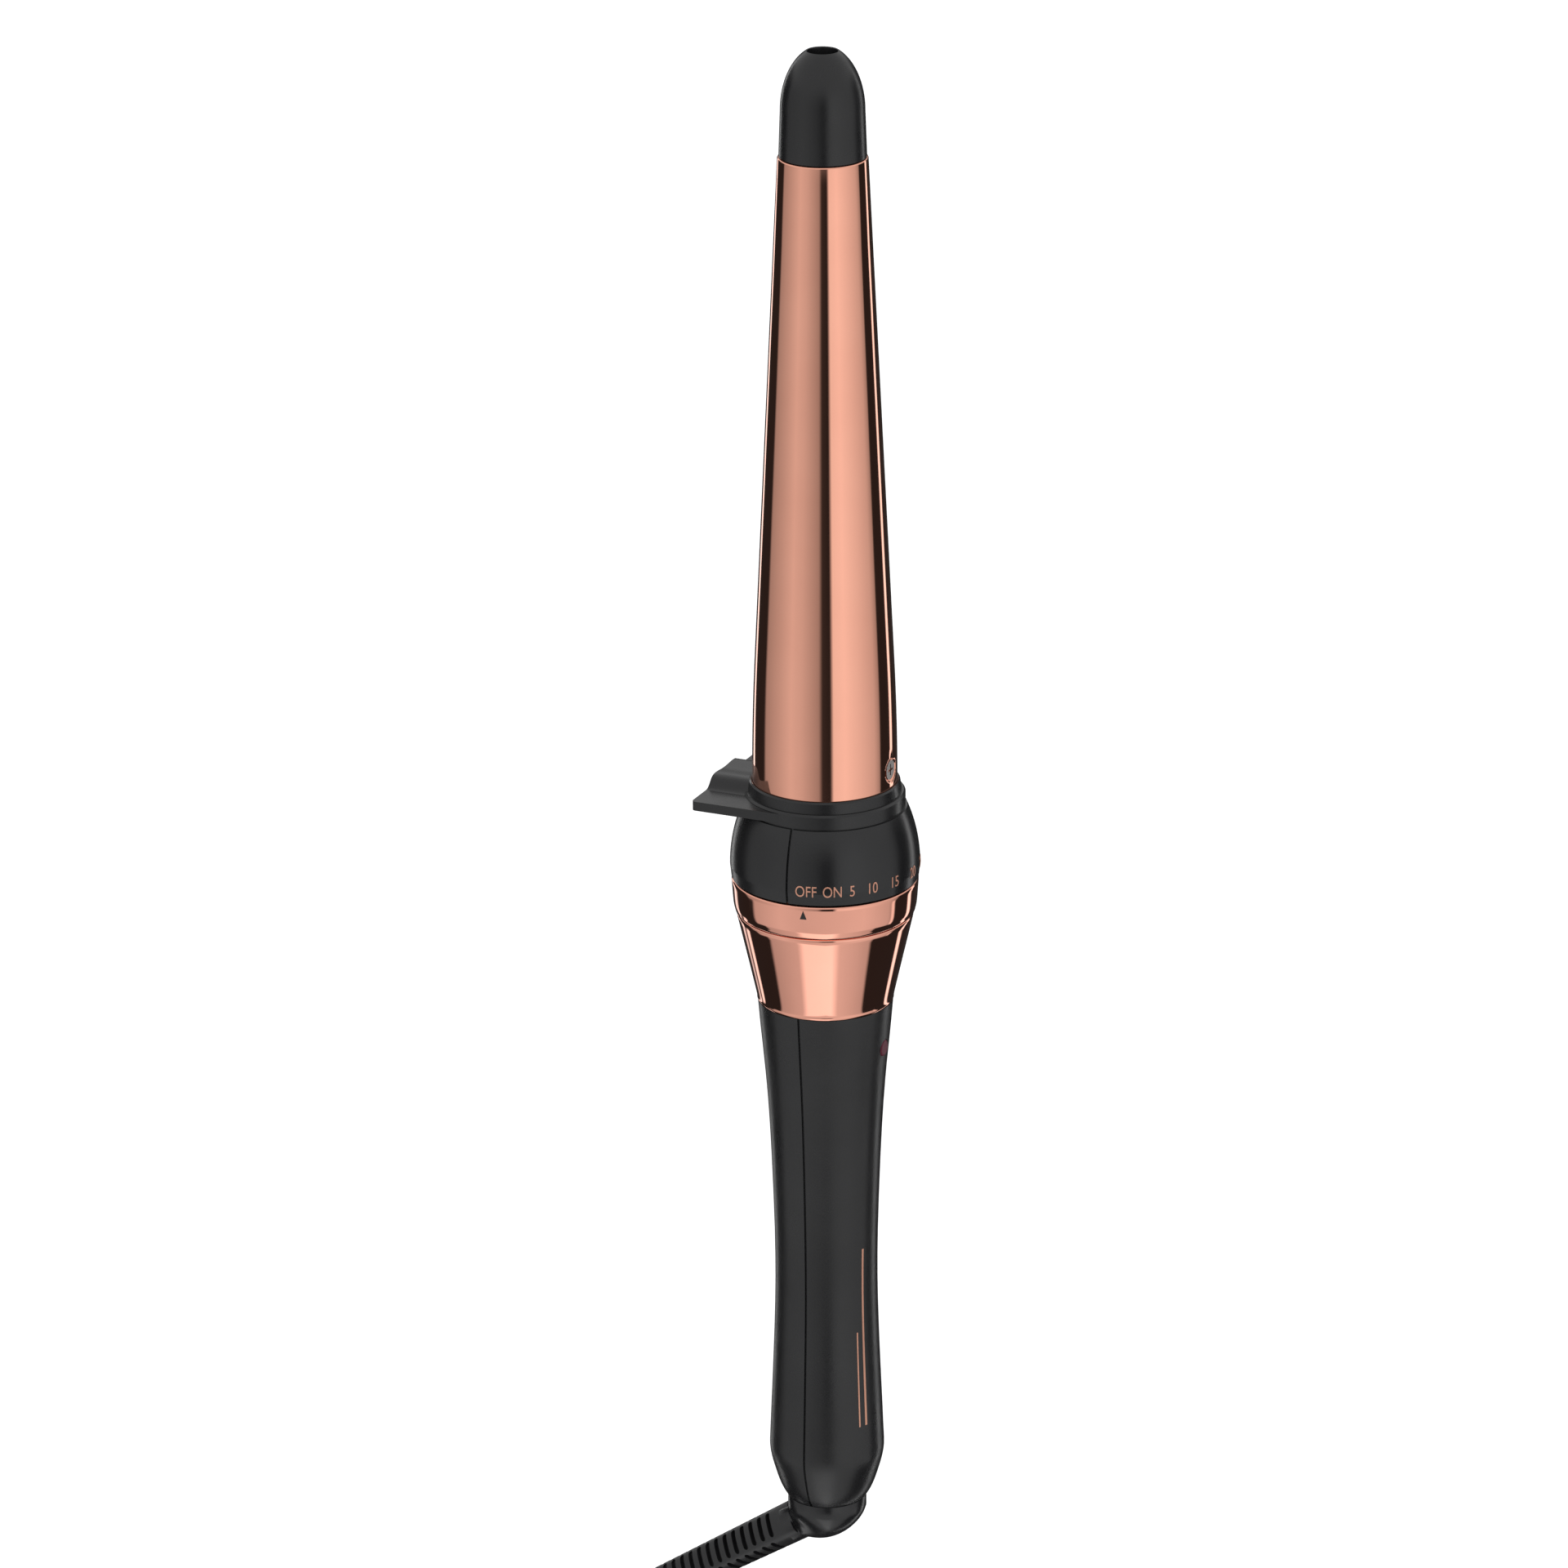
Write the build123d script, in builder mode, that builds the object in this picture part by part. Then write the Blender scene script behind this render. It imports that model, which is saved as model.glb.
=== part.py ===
"""Tapered curling wand with a heat dial, a stand collar and a swivel cord.

Millimetres. +Z runs along the wand towards its tip, the origin is the middle of the grip, +X is the front
(power light side) and -X is the side of the stand fin. The casings are split at the plane X = 0.
"""

import os
from math import acos, cos, pi, radians, sin, sqrt, tan

from build123d import *

# ---------------------------------------------------------------- driving dimensions
# barrel: a tapered tube that runs straight, then flares gently into its base
BARREL_BASE_R = 16.0
BARREL_TIP_R = 9.8
BARREL_WALL = 1.0
BARREL_TOP_Z = 258.1
BARREL_BEND_Z = 145.0
BARREL_BEND_R = 15.3
BARREL_FOOT_Z = 106.0
SCREW_Z = 121.0
SCREW_SHANK_R = 1.25
SCREW_HEAD_R = 2.2

# cool tip
TIP_STEP = 0.3
TIP_DOME_R = 9.15
TIP_DOME_Z = BARREL_TOP_Z + 10.2
TIP_DOME_H = 14.1
TIP_HOLE_R = 3.3
TIP_SKIRT_DEPTH = 12.0

# stand collar
COLLAR_TOP_Z = 117.0
FLANGE_TOP_Z = 114.4
FLANGE_R = 17.8
FIN_REACH = 24.4
FIN_HALF_W = 17.5
FIN_THICK = 2.1
FIN_STEP = 0.6
FIN_RISE = 2.2
FIN_RISE_HALF = 8.2

# head casing
HEAD_TOP_Z = 110.9
HEAD_TOP_R = 18.2
HEAD_BULGE_R = 21.05
HEAD_BULGE_Z = 97.3
HEAD_FOOT_R = 20.75
HEAD_FOOT_Z = 94.6
HEAD_WALL = 2.0
SKIRT_R = 17.2
SKIRT_DEPTH = 2.0
JOURNAL_R = 17.45
NECK_R = 12.15
NECK_BORE_R = 10.6
NECK_FOOT_Z = 50.1
NECK_FLANGE_R = 12.95

# dial, its internal gear and the potentiometer pinion
DIAL_HEIGHT = 8.1
GEAR_MODULE = 0.8
RING_TEETH = 44
PINION_TEETH = 14
GEAR_BACKLASH = 0.2
GEAR_FACE = 4.0
PINION_Z = 87.45
PRESSURE = radians(20)

# ferrule and handle
FERRULE_TOP_R = 19.6
FERRULE_FOOT_R = 15.2
FERRULE_TOP_Z = 86.15
FERRULE_FOOT_Z = 65.3
FERRULE_WALL = 1.2
HANDLE_TOP_Z = 65.2
HANDLE_TOP_R = 15.1
GRIP_WAIST_R = 11.55
HANDLE_SWELL_R = 13.0
HANDLE_SWELL_Z = -43.0
HANDLE_FOOT_Z = -56.2
HANDLE_FOOT_R = 8.95
HANDLE_WALL = 2.0
HANDLE_FLOOR = 4.7
HANDLE_SCREWS_Z = (40.0, -28.0)
LENS_Z = 55.1
LENS_R = 1.9

# swivel
STEM_R = 5.0
STEM_FLANGE_R = 7.0
STEM_FLANGE_T = 2.0
STEM_TOP_Z = -46.0
ELBOW_STRAIGHT = 3.0
RELIEF_DROP = 34.0
RELIEF_AXIS_Z = HANDLE_FOOT_Z - 3.6
RELIEF_REACH = 54.0
RELIEF_ROOT = 8.7
RELIEF_END = 7.5

# cord
CORD_D = 6.0
FOLD_R = 3 * CORD_D
HANK_RUN = 15 * CORD_D
HANK_PINCH = 11.0
HANK_LAYERS = 4
STUB = 18.0

# fits
RUN_FIT = 0.05
LOOSE = 0.1
SEAM = 0.25
SEAM_DEPTH = 0.5
CASE_GAP = 0.02

os.makedirs("parts", exist_ok=True)


def finish(piece, label):
    """Label a finished piece and write it as its own STEP file."""
    piece.part.label = label
    export_step(piece.part, f"parts/{label}.step")
    return piece.part


def turned(*points):
    """A full solid of revolution about Z from (radius, z) corners."""
    with BuildPart(mode=Mode.PRIVATE) as body:
        with BuildSketch(Plane.XZ):
            with BuildLine():
                Polyline(*points, close=True)
            make_face()
        revolve(axis=Axis.Z)
    return body.part


def tube(r_out, r_in, z_low, z_high):
    """A plain ring between two heights."""
    return turned((r_in, z_low), (r_out, z_low), (r_out, z_high), (r_in, z_high))


def bar_x(radius, x_low, x_high, z, y=0.0):
    """A round bar along X."""
    with BuildPart(mode=Mode.PRIVATE) as bar:
        with BuildSketch(Plane.YZ.offset(x_low)):
            with Locations((y, z)):
                Circle(radius)
        extrude(amount=x_high - x_low)
    return bar.part


def block(x, y, z):
    """A box from its lowest and highest place on each axis."""
    size = (x[1] - x[0], y[1] - y[0], z[1] - z[0])
    return Pos((x[0] + x[1]) / 2, (y[0] + y[1]) / 2, (z[0] + z[1]) / 2) * Box(*size, mode=Mode.PRIVATE)


def rod(radius, x, y, z_low, z_high):
    """A round rod along Z."""
    return Pos(x, y, (z_low + z_high) / 2) * Cylinder(radius, z_high - z_low, mode=Mode.PRIVATE)


def wires(radius, routes):
    """Insulated wires, each swept along its own rounded route."""
    with BuildPart() as loom:
        for route in routes:
            with BuildLine() as line:
                if len(route) == 2:
                    Line(*route)
                else:
                    FilletPolyline(*route, radius=3 * radius)
            with BuildSketch(Plane(origin=line.line @ 0, z_dir=line.line % 0)):
                Circle(radius)
            sweep(path=line.line)
    return loom


# ---------------------------------------------------------------- shared outlines
TAPER = (BARREL_BEND_R - BARREL_TIP_R) / (BARREL_TOP_Z - BARREL_BEND_Z)


def barrel_r(z):
    """Outside radius of the barrel's straight taper at a height."""
    return BARREL_TIP_R + TAPER * (BARREL_TOP_Z - z)


def barrel_solid(inset):
    """The barrel's outside, filled in, moved inwards by inset."""
    with BuildPart(mode=Mode.PRIVATE) as body:
        with BuildSketch(Plane.XZ):
            with BuildLine():
                Line((0, BARREL_TOP_Z), (BARREL_TIP_R - inset, BARREL_TOP_Z))
                side = Line((BARREL_TIP_R - inset, BARREL_TOP_Z), (BARREL_BEND_R - inset, BARREL_BEND_Z))
                foot_z = HEAD_TOP_Z + SKIRT_DEPTH
                flare = TangentArc(side @ 1, (BARREL_BASE_R - inset, foot_z), tangent=side % 1)
                foot_r = BARREL_BASE_R - inset
                Polyline(flare @ 1, (foot_r, BARREL_FOOT_Z), (0, BARREL_FOOT_Z), (0, BARREL_TOP_Z))
            make_face()
        revolve(axis=Axis.Z)
    return body.part


def handle_solid(inset, z_low):
    """The handle's outside, filled in, moved inwards by inset and cut off below z_low."""
    grip = ((13.35, 45.9), (12.05, 22.3), (GRIP_WAIST_R, -3.0), (12.0, -19.4))
    shoulder = [(r - inset, z) for r, z in grip]
    with BuildPart(mode=Mode.PRIVATE) as body:
        with BuildSketch(Plane.XZ):
            with BuildLine():
                top = (HANDLE_TOP_R - inset, HANDLE_TOP_Z)
                swell = (HANDLE_SWELL_R - inset, HANDLE_SWELL_Z)
                side = Spline(top, *shoulder, swell, tangents=[(-0.075, -1), (0.04, -1)])
                foot = (HANDLE_FOOT_R - inset, HANDLE_FOOT_Z)
                end = Spline(side @ 1, (11.87 - inset, -49.5), foot, tangents=[side % 1, (-0.8, -1)])
                Polyline(end @ 1, (0, HANDLE_FOOT_Z), (0, HANDLE_TOP_Z), top)
            make_face()
        revolve(axis=Axis.Z)
        split(bisect_by=Plane.XY.offset(z_low), keep=Keep.TOP)
    return body.part


def head_solid(inset):
    """The bulged head, filled in, moved inwards by inset."""
    with BuildPart(mode=Mode.PRIVATE) as body:
        with BuildSketch(Plane.XZ):
            with BuildLine():
                side = ThreePointArc(
                    (HEAD_TOP_R - inset, HEAD_TOP_Z),
                    (20.38 - inset, 104.0),
                    (HEAD_BULGE_R - inset, HEAD_BULGE_Z),
                )
                Polyline(
                    side @ 1,
                    (HEAD_FOOT_R - inset, HEAD_FOOT_Z),
                    (0, HEAD_FOOT_Z),
                    (0, HEAD_TOP_Z),
                    (HEAD_TOP_R - inset, HEAD_TOP_Z),
                )
            make_face()
        revolve(axis=Axis.Z)
    return body.part


def seam_groove(outside, inside):
    """The thin groove that shows where two casing halves meet."""
    return (outside - inside) & block((-SEAM, SEAM), (-30, 30), (-80, 130))


def halves(shell, groove, front_label, rear_label, front_add=None, rear_add=None):
    """Split a casing at X = 0 into its front and rear shells and write both."""
    for label, keep, extra in ((front_label, Keep.TOP, front_add), (rear_label, Keep.BOTTOM, rear_add)):
        sign = 1 if keep == Keep.TOP else -1
        with BuildPart() as half:
            add(shell)
            split(bisect_by=Plane.YZ.offset(sign * CASE_GAP), keep=keep)
            add(groove, mode=Mode.SUBTRACT)
            if extra:
                extra()
        finish(half, label)


# ---------------------------------------------------------------- barrel and what it holds
barrel_outer = barrel_solid(0)
barrel_inner = barrel_solid(BARREL_WALL)

with BuildPart() as barrel:
    add(barrel_outer)
    add(barrel_inner, mode=Mode.SUBTRACT)
    for face in (-1, 1):
        with Locations(Location((face * BARREL_BASE_R, 0, SCREW_Z), (0, face * 90, 0))):
            CounterSinkHole(SCREW_SHANK_R + LOOSE, SCREW_HEAD_R + 3 * LOOSE, depth=3 * BARREL_WALL)
finish(barrel, "barrel")

SEAT_R = BARREL_BASE_R - BARREL_WALL - 2 * LOOSE
SEAT_BORE_R = 8.5
SEAT_TOP_Z = SCREW_Z + 5
SEAT_FLANGE_R = SKIRT_R + 4 * LOOSE
SEAT_FLANGE_T = 2.1
SEAT_FLANGE_Z = BARREL_FOOT_Z - SEAT_FLANGE_T
SCREW_TIP_X = 9.5
SCREW_SEAT_X = BARREL_BASE_R - 0.3

with BuildPart() as barrel_seat:
    add(tube(SEAT_R, SEAT_BORE_R, SEAT_FLANGE_Z, SEAT_TOP_Z))
    add(tube(SEAT_FLANGE_R, SEAT_BORE_R, SEAT_FLANGE_Z, BARREL_FOOT_Z))
    for face in (-1, 1):
        hole = sorted((face * (SCREW_TIP_X - 2 * LOOSE), face * (SEAT_R + 1)))
        add(bar_x(SCREW_SHANK_R + RUN_FIT, *hole, SCREW_Z), mode=Mode.SUBTRACT)
finish(barrel_seat, "barrel_seat")


def countersunk_screw(tip_x, head_x, z, label_face):
    """A small countersunk screw lying along X, its head outwards."""
    shank = sorted((label_face * tip_x, label_face * (head_x - 0.2)))
    with BuildPart(mode=Mode.PRIVATE) as screw:
        add(bar_x(SCREW_SHANK_R, *shank, z))
        with BuildSketch(Plane.YZ.offset(label_face * (head_x - SCREW_HEAD_R + SCREW_SHANK_R))):
            with Locations((0, z)):
                Circle(SCREW_SHANK_R)
        with BuildSketch(Plane.YZ.offset(label_face * head_x)):
            with Locations((0, z)):
                Circle(SCREW_HEAD_R)
        loft()
        slot_x = sorted((label_face * (head_x - 0.5), label_face * (head_x + 0.1)))
        add(block(slot_x, (-1.3, 1.3), (z - 0.25, z + 0.25)), mode=Mode.SUBTRACT)
        add(block(slot_x, (-0.25, 0.25), (z - 1.3, z + 1.3)), mode=Mode.SUBTRACT)
    return screw.part


with BuildPart() as barrel_screws:
    for face in (-1, 1):
        add(countersunk_screw(SCREW_TIP_X, SCREW_SEAT_X, SCREW_Z, face))
finish(barrel_screws, "barrel_screws")

MICA_T = 0.6
with BuildPart() as mica_disc:
    add(tube(SEAT_R - 0.6, SEAT_BORE_R, SEAT_TOP_Z, SEAT_TOP_Z + MICA_T))
finish(mica_disc, "mica_disc")

# heater: a flat ceramic element pressed between two aluminium half-round shoes
HEATER_LOW_Z = 150.0
HEATER_HIGH_Z = BARREL_TOP_Z - 26.1
GAP_HALF = 1.6
SHOE_WALL = 2.2
PTC_HALF_T = 0.8
PTC_HALF_W = 6.0
PTC_Z = (HEATER_LOW_Z + 12.0, HEATER_HIGH_Z - 10.0)
ELECTRODE_T = 0.25
FILM_T = 0.3

shoe_span = block((-30, 30), (-30, 30), (HEATER_LOW_Z, HEATER_HIGH_Z))
shoe_round = barrel_solid(BARREL_WALL + RUN_FIT) & shoe_span
shoe_core = barrel_solid(BARREL_WALL + SHOE_WALL)
for label, face in (("heater_shoe_front", 1), ("heater_shoe_rear", -1)):
    beyond = sorted((face * GAP_HALF, face * 30))
    hollow = sorted((face * (GAP_HALF + SHOE_WALL), face * 30))
    with BuildPart() as shoe:
        add(shoe_round & block(beyond, (-30, 30), (HEATER_LOW_Z, HEATER_HIGH_Z)))
        add(shoe_core & block(hollow, (-30, 30), (HEATER_LOW_Z, HEATER_HIGH_Z)), mode=Mode.SUBTRACT)
    finish(shoe, label)

with BuildPart() as ptc_element:
    add(block((-PTC_HALF_T, PTC_HALF_T), (-PTC_HALF_W, PTC_HALF_W), PTC_Z))
finish(ptc_element, "ptc_element")

TAB_Z = 140.0
TAB_Y = 4.0
with BuildPart() as electrode_plates:
    for face in (-1, 1):
        sheet = sorted((face * PTC_HALF_T, face * (PTC_HALF_T + ELECTRODE_T)))
        add(block(sheet, (-PTC_HALF_W, PTC_HALF_W), PTC_Z))
        add(block(sheet, (face * TAB_Y - 1.5, face * TAB_Y + 1.5), (TAB_Z, PTC_Z[0])))
finish(electrode_plates, "electrode_plates")

FILM_X = PTC_HALF_T + ELECTRODE_T
with BuildPart() as insulating_film:
    film_z = (PTC_Z[0] - 4, PTC_Z[1] + 4)
    add(block((-FILM_X - FILM_T, FILM_X + FILM_T), (-PTC_HALF_W - 0.5, PTC_HALF_W + 0.5), film_z))
    add(block((-FILM_X, FILM_X), (-PTC_HALF_W - 0.1, PTC_HALF_W + 0.1), film_z), mode=Mode.SUBTRACT)
finish(insulating_film, "insulating_film")

SPRING_T = 0.3
SPRING_MARGIN = (PTC_Z[1] - PTC_Z[0]) / 6
SPRING_Z = (PTC_Z[0] + SPRING_MARGIN, PTC_Z[1] - SPRING_MARGIN)
with BuildPart() as heater_springs:
    with BuildSketch(Plane.XZ.offset(-PTC_HALF_W - 3)) as leaf:
        with BuildLine():
            low, high = SPRING_Z
            mid = (low + high) / 2
            reach = GAP_HALF - LOOSE
            outer = ThreePointArc((SPRING_T - reach, low), (reach, mid), (SPRING_T - reach, high))
            inner = ThreePointArc((-reach, high), (reach - SPRING_T, mid), (-reach, low))
            Line(outer @ 1, inner @ 0)
            Line(inner @ 1, outer @ 0)
        make_face()
    extrude(amount=1.8)
    mirror(about=Plane.XZ)
finish(heater_springs, "heater_springs")

BEAD_X = GAP_HALF + SHOE_WALL + 1.1
FUSE_X = -(GAP_HALF + SHOE_WALL + 1.8)
FUSE_Z = (175.0, 186.0)
BEAD_Z = (183.0, 188.0)
with BuildPart() as thermistor:
    add(rod(1.0, BEAD_X, 0, *BEAD_Z))
finish(thermistor, "thermistor")

with BuildPart() as thermal_fuse:
    add(rod(1.7, FUSE_X, 0, *FUSE_Z))
finish(thermal_fuse, "thermal_fuse")

# ---------------------------------------------------------------- cool tip, its bracket and screw
TIP_FOOT_R = BARREL_TIP_R - TIP_STEP
TIP_FLOOR_Z = BARREL_TOP_Z + 3.9
BRACKET_Z = BARREL_TOP_Z - TIP_SKIRT_DEPTH - 3.1
BRACKET_T = 2.0
TIP_SCREW_HEAD_T = 2.4

with BuildPart() as cool_tip:
    with BuildSketch(Plane.XZ):
        with BuildLine():
            rim_r = TIP_HOLE_R + 0.4
            lift = sqrt(1 - (rim_r / TIP_DOME_R) ** 2)
            rim_z = TIP_DOME_Z + TIP_DOME_H * lift
            mid_r = TIP_DOME_R * cos(radians(38))
            mid_z = TIP_DOME_Z + TIP_DOME_H * sin(radians(38))
            high_r = TIP_DOME_R * cos(radians(18))
            high_z = TIP_DOME_Z + TIP_DOME_H * sin(radians(18))
            dome = Spline(
                (TIP_DOME_R, TIP_DOME_Z),
                (high_r, high_z),
                (mid_r, mid_z),
                (rim_r, rim_z),
                tangents=[(0, 1), (-1, 0.72)],
            )
            Polyline(
                dome @ 1,
                (TIP_HOLE_R, rim_z - 0.5),
                (TIP_HOLE_R, TIP_FLOOR_Z),
                (SCREW_SHANK_R + LOOSE, TIP_FLOOR_Z),
                (SCREW_SHANK_R + LOOSE, BARREL_TOP_Z - TIP_SKIRT_DEPTH),
                (BARREL_TIP_R - BARREL_WALL - RUN_FIT, BARREL_TOP_Z - TIP_SKIRT_DEPTH),
                (BARREL_TIP_R - BARREL_WALL - RUN_FIT, BARREL_TOP_Z),
                (TIP_FOOT_R, BARREL_TOP_Z),
                (TIP_DOME_R, TIP_DOME_Z),
            )
        make_face()
    revolve(axis=Axis.Z)
finish(cool_tip, "cool_tip")

with BuildPart() as tip_screw:
    add(rod(SCREW_SHANK_R, 0, 0, BRACKET_Z - 3, TIP_FLOOR_Z))
    add(rod(TIP_HOLE_R - 0.5, 0, 0, TIP_FLOOR_Z, TIP_FLOOR_Z + TIP_SCREW_HEAD_T))
    for turn in (0, 90):
        place = Pos(0, 0, TIP_FLOOR_Z + TIP_SCREW_HEAD_T) * Rot(0, 0, turn)
        cross = place * Box(3.2, 0.6, 2.0, mode=Mode.PRIVATE)
        add(cross, mode=Mode.SUBTRACT)
finish(tip_screw, "tip_screw")

with BuildPart() as tip_bracket:
    bracket_r = barrel_r(BRACKET_Z + BRACKET_T) - BARREL_WALL - RUN_FIT
    add(rod(bracket_r, 0, 0, BRACKET_Z, BRACKET_Z + BRACKET_T))
    add(rod(SCREW_SHANK_R + RUN_FIT, 0, 0, BRACKET_Z - 1, BRACKET_Z + BRACKET_T + 1), mode=Mode.SUBTRACT)
    for side in (-1, 1):
        past_bracket = (BRACKET_Z - 1, BRACKET_Z + BRACKET_T + 1)
        notch = block((-bracket_r, bracket_r), sorted((side * 5.5, side * 12)), past_bracket)
        add(notch, mode=Mode.SUBTRACT)
finish(tip_bracket, "tip_bracket")

# ---------------------------------------------------------------- stand collar with its fin
COLLAR_BORE_R = BARREL_BASE_R + LOOSE

with BuildPart() as fin:
    with BuildSketch(Plane.YZ.offset(-FIN_REACH)):
        with BuildLine():
            top = FLANGE_TOP_Z - FIN_STEP
            low = top - FIN_THICK
            ramp = 2.6
            edge, inner = FIN_RISE_HALF + ramp / 2, FIN_RISE_HALF - ramp / 2
            crest = Spline(
                (-edge, top),
                (-inner, top + 0.8 * FIN_RISE),
                (0, top + FIN_RISE),
                (inner, top + 0.8 * FIN_RISE),
                (edge, top),
                tangents=[(1, 0.15), (1, -0.15)],
            )
            under = Spline(
                (edge - 0.6, low), (inner - 0.6, low + 0.7 * FIN_RISE), (0, low + 0.85 * FIN_RISE),
                (-inner + 0.6, low + 0.7 * FIN_RISE), (-edge + 0.6, low), tangents=[(-1, 0.15), (-1, -0.15)],
            )
            Polyline(crest @ 1, (FIN_HALF_W, top), (FIN_HALF_W, low), under @ 0)
            Polyline(under @ 1, (-FIN_HALF_W, low), (-FIN_HALF_W, top), crest @ 0)
        make_face()
    extrude(amount=FIN_REACH)
    add(rod(COLLAR_BORE_R + 0.3, 0, 0, 100, 130), mode=Mode.SUBTRACT)
    for upright in fin.edges().filter_by(Axis.Z).group_by(Axis.X)[0]:
        fillet(upright, FIN_THICK / 2)

with BuildPart() as stand_collar:
    with BuildSketch(Plane.XZ):
        with BuildLine():
            Polyline(
                (COLLAR_BORE_R, HEAD_TOP_Z - SKIRT_DEPTH),
                (SKIRT_R, HEAD_TOP_Z - SKIRT_DEPTH),
                (SKIRT_R, HEAD_TOP_Z),
                (FLANGE_R, HEAD_TOP_Z),
                (FLANGE_R, FLANGE_TOP_Z - 0.5),
                (FLANGE_R - 0.4, FLANGE_TOP_Z),
                (17.0, FLANGE_TOP_Z),
                (16.65, COLLAR_TOP_Z - 0.4),
                (16.35, COLLAR_TOP_Z),
                (COLLAR_BORE_R, COLLAR_TOP_Z - 0.1),
                close=True,
            )
        make_face()
    revolve(axis=Axis.Z)
    add(fin.part)
finish(stand_collar, "stand_collar")

# ---------------------------------------------------------------- head casing
FLOOR_Z = HEAD_FOOT_Z + HEAD_WALL
POT_X = -12.0
TOOTH_ZONE_Z = 90.2
NECK_WIDE_R = 16.4
NECK_STEP_Z = 82.0
CAVITY_R = HEAD_FOOT_R - 2.55
LEDGE_Z = 102.6

groove_outer = head_solid(-1)
with BuildPart() as head_case:
    add(head_solid(0))
    add(tube(JOURNAL_R, 0.5, TOOTH_ZONE_Z, HEAD_FOOT_Z))
    add(tube(NECK_WIDE_R, 0.5, NECK_STEP_Z, TOOTH_ZONE_Z))
    add(tube(NECK_R, 0.5, NECK_FOOT_Z, NECK_STEP_Z))
    add(tube(NECK_FLANGE_R, 0.5, NECK_FOOT_Z, NECK_FOOT_Z + 1.9))
    add(rod(NECK_BORE_R, 0, 0, NECK_FOOT_Z - 1, FLOOR_Z), mode=Mode.SUBTRACT)
    add(rod(NECK_WIDE_R - 2, 0, 0, NECK_STEP_Z + 2, TOOTH_ZONE_Z), mode=Mode.SUBTRACT)
    add(rod(JOURNAL_R - 2.05, 0, 0, TOOTH_ZONE_Z, FLOOR_Z + 0.1), mode=Mode.SUBTRACT)
    add(rod(CAVITY_R, 0, 0, FLOOR_Z, LEDGE_Z), mode=Mode.SUBTRACT)
    add(rod(COLLAR_BORE_R, 0, 0, LEDGE_Z - 1, HEAD_TOP_Z + 1), mode=Mode.SUBTRACT)
    add(rod(SEAT_FLANGE_R + LOOSE, 0, 0, SEAT_FLANGE_Z - 0.05, BARREL_FOOT_Z + 0.05), mode=Mode.SUBTRACT)
    add(rod(SKIRT_R + RUN_FIT, 0, 0, HEAD_TOP_Z - SKIRT_DEPTH - 0.05, HEAD_TOP_Z + 1), mode=Mode.SUBTRACT)
    add(bar_x(2.9, 8, 16, LENS_Z), mode=Mode.SUBTRACT)
    pitch_r = GEAR_MODULE * PINION_TEETH / 2
    window_r = pitch_r + GEAR_MODULE + 0.5
    add(rod(window_r, POT_X, 0, PINION_Z - 0.5, PINION_Z + GEAR_FACE + 0.5), mode=Mode.SUBTRACT)

head_groove = seam_groove(groove_outer, head_solid(SEAM_DEPTH))
halves(head_case.part, head_groove, "head_front_shell", "head_rear_shell")

# ---------------------------------------------------------------- gearing
def involute(angle):
    """The involute function."""
    return tan(angle) - angle


def tooth_half_angle(radius, teeth, extra):
    """Half the angle that a tooth fills at a radius; extra widens it at the pitch circle."""
    pitch = GEAR_MODULE * teeth / 2
    base = pitch * cos(PRESSURE)
    at_pitch = (pi * GEAR_MODULE / 2 + extra) / (2 * pitch)
    pressure_here = acos(base / radius) if radius > base else 0.0
    return at_pitch + involute(PRESSURE) - involute(pressure_here)


def tooth_outline(teeth, r_low, r_high, extra, turn, steps=5):
    """Corners of one tooth, from r_low to r_high, centred on the angle turn."""
    radii = [r_low + (r_high - r_low) * n / steps for n in range(steps + 1)]
    right = [(r, -tooth_half_angle(r, teeth, extra)) for r in radii]
    left = [(r, -a) for r, a in reversed(right)]
    return [(r * cos(turn + a), r * sin(turn + a)) for r, a in right + left]


def teeth_prism(teeth, r_low, r_high, extra, centre_x=0.0):
    """All teeth of a gear, or all tooth spaces of an internal gear, as prisms."""
    with BuildPart(mode=Mode.PRIVATE) as prisms:
        with BuildSketch(Plane.XY.offset(PINION_Z)):
            for n in range(teeth):
                corners = tooth_outline(teeth, r_low, r_high, extra, 2 * pi * n / teeth)
                with BuildLine():
                    Polyline(*[(x + centre_x, y) for x, y in corners], close=True)
                make_face()
        extrude(amount=GEAR_FACE)
    return prisms.part


RING_PITCH_R = GEAR_MODULE * RING_TEETH / 2
PINION_PITCH_R = GEAR_MODULE * PINION_TEETH / 2
RING_TIP_R = RING_PITCH_R - 0.75 * GEAR_MODULE
RING_ROOT_R = RING_PITCH_R + 1.25 * GEAR_MODULE
PINION_TIP_R = PINION_PITCH_R + 0.95 * GEAR_MODULE
PINION_ROOT_R = PINION_PITCH_R - 1.25 * GEAR_MODULE

# ---------------------------------------------------------------- dial
DIAL_TOP_Z = HEAD_FOOT_Z - 0.15
DIAL_FOOT_Z = DIAL_TOP_Z - DIAL_HEIGHT
GEAR_TOP_Z = PINION_Z + GEAR_FACE
WASHER_T = 0.7
WASHER_R = (JOURNAL_R + 0.15, JOURNAL_R + 1.9)

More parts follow.
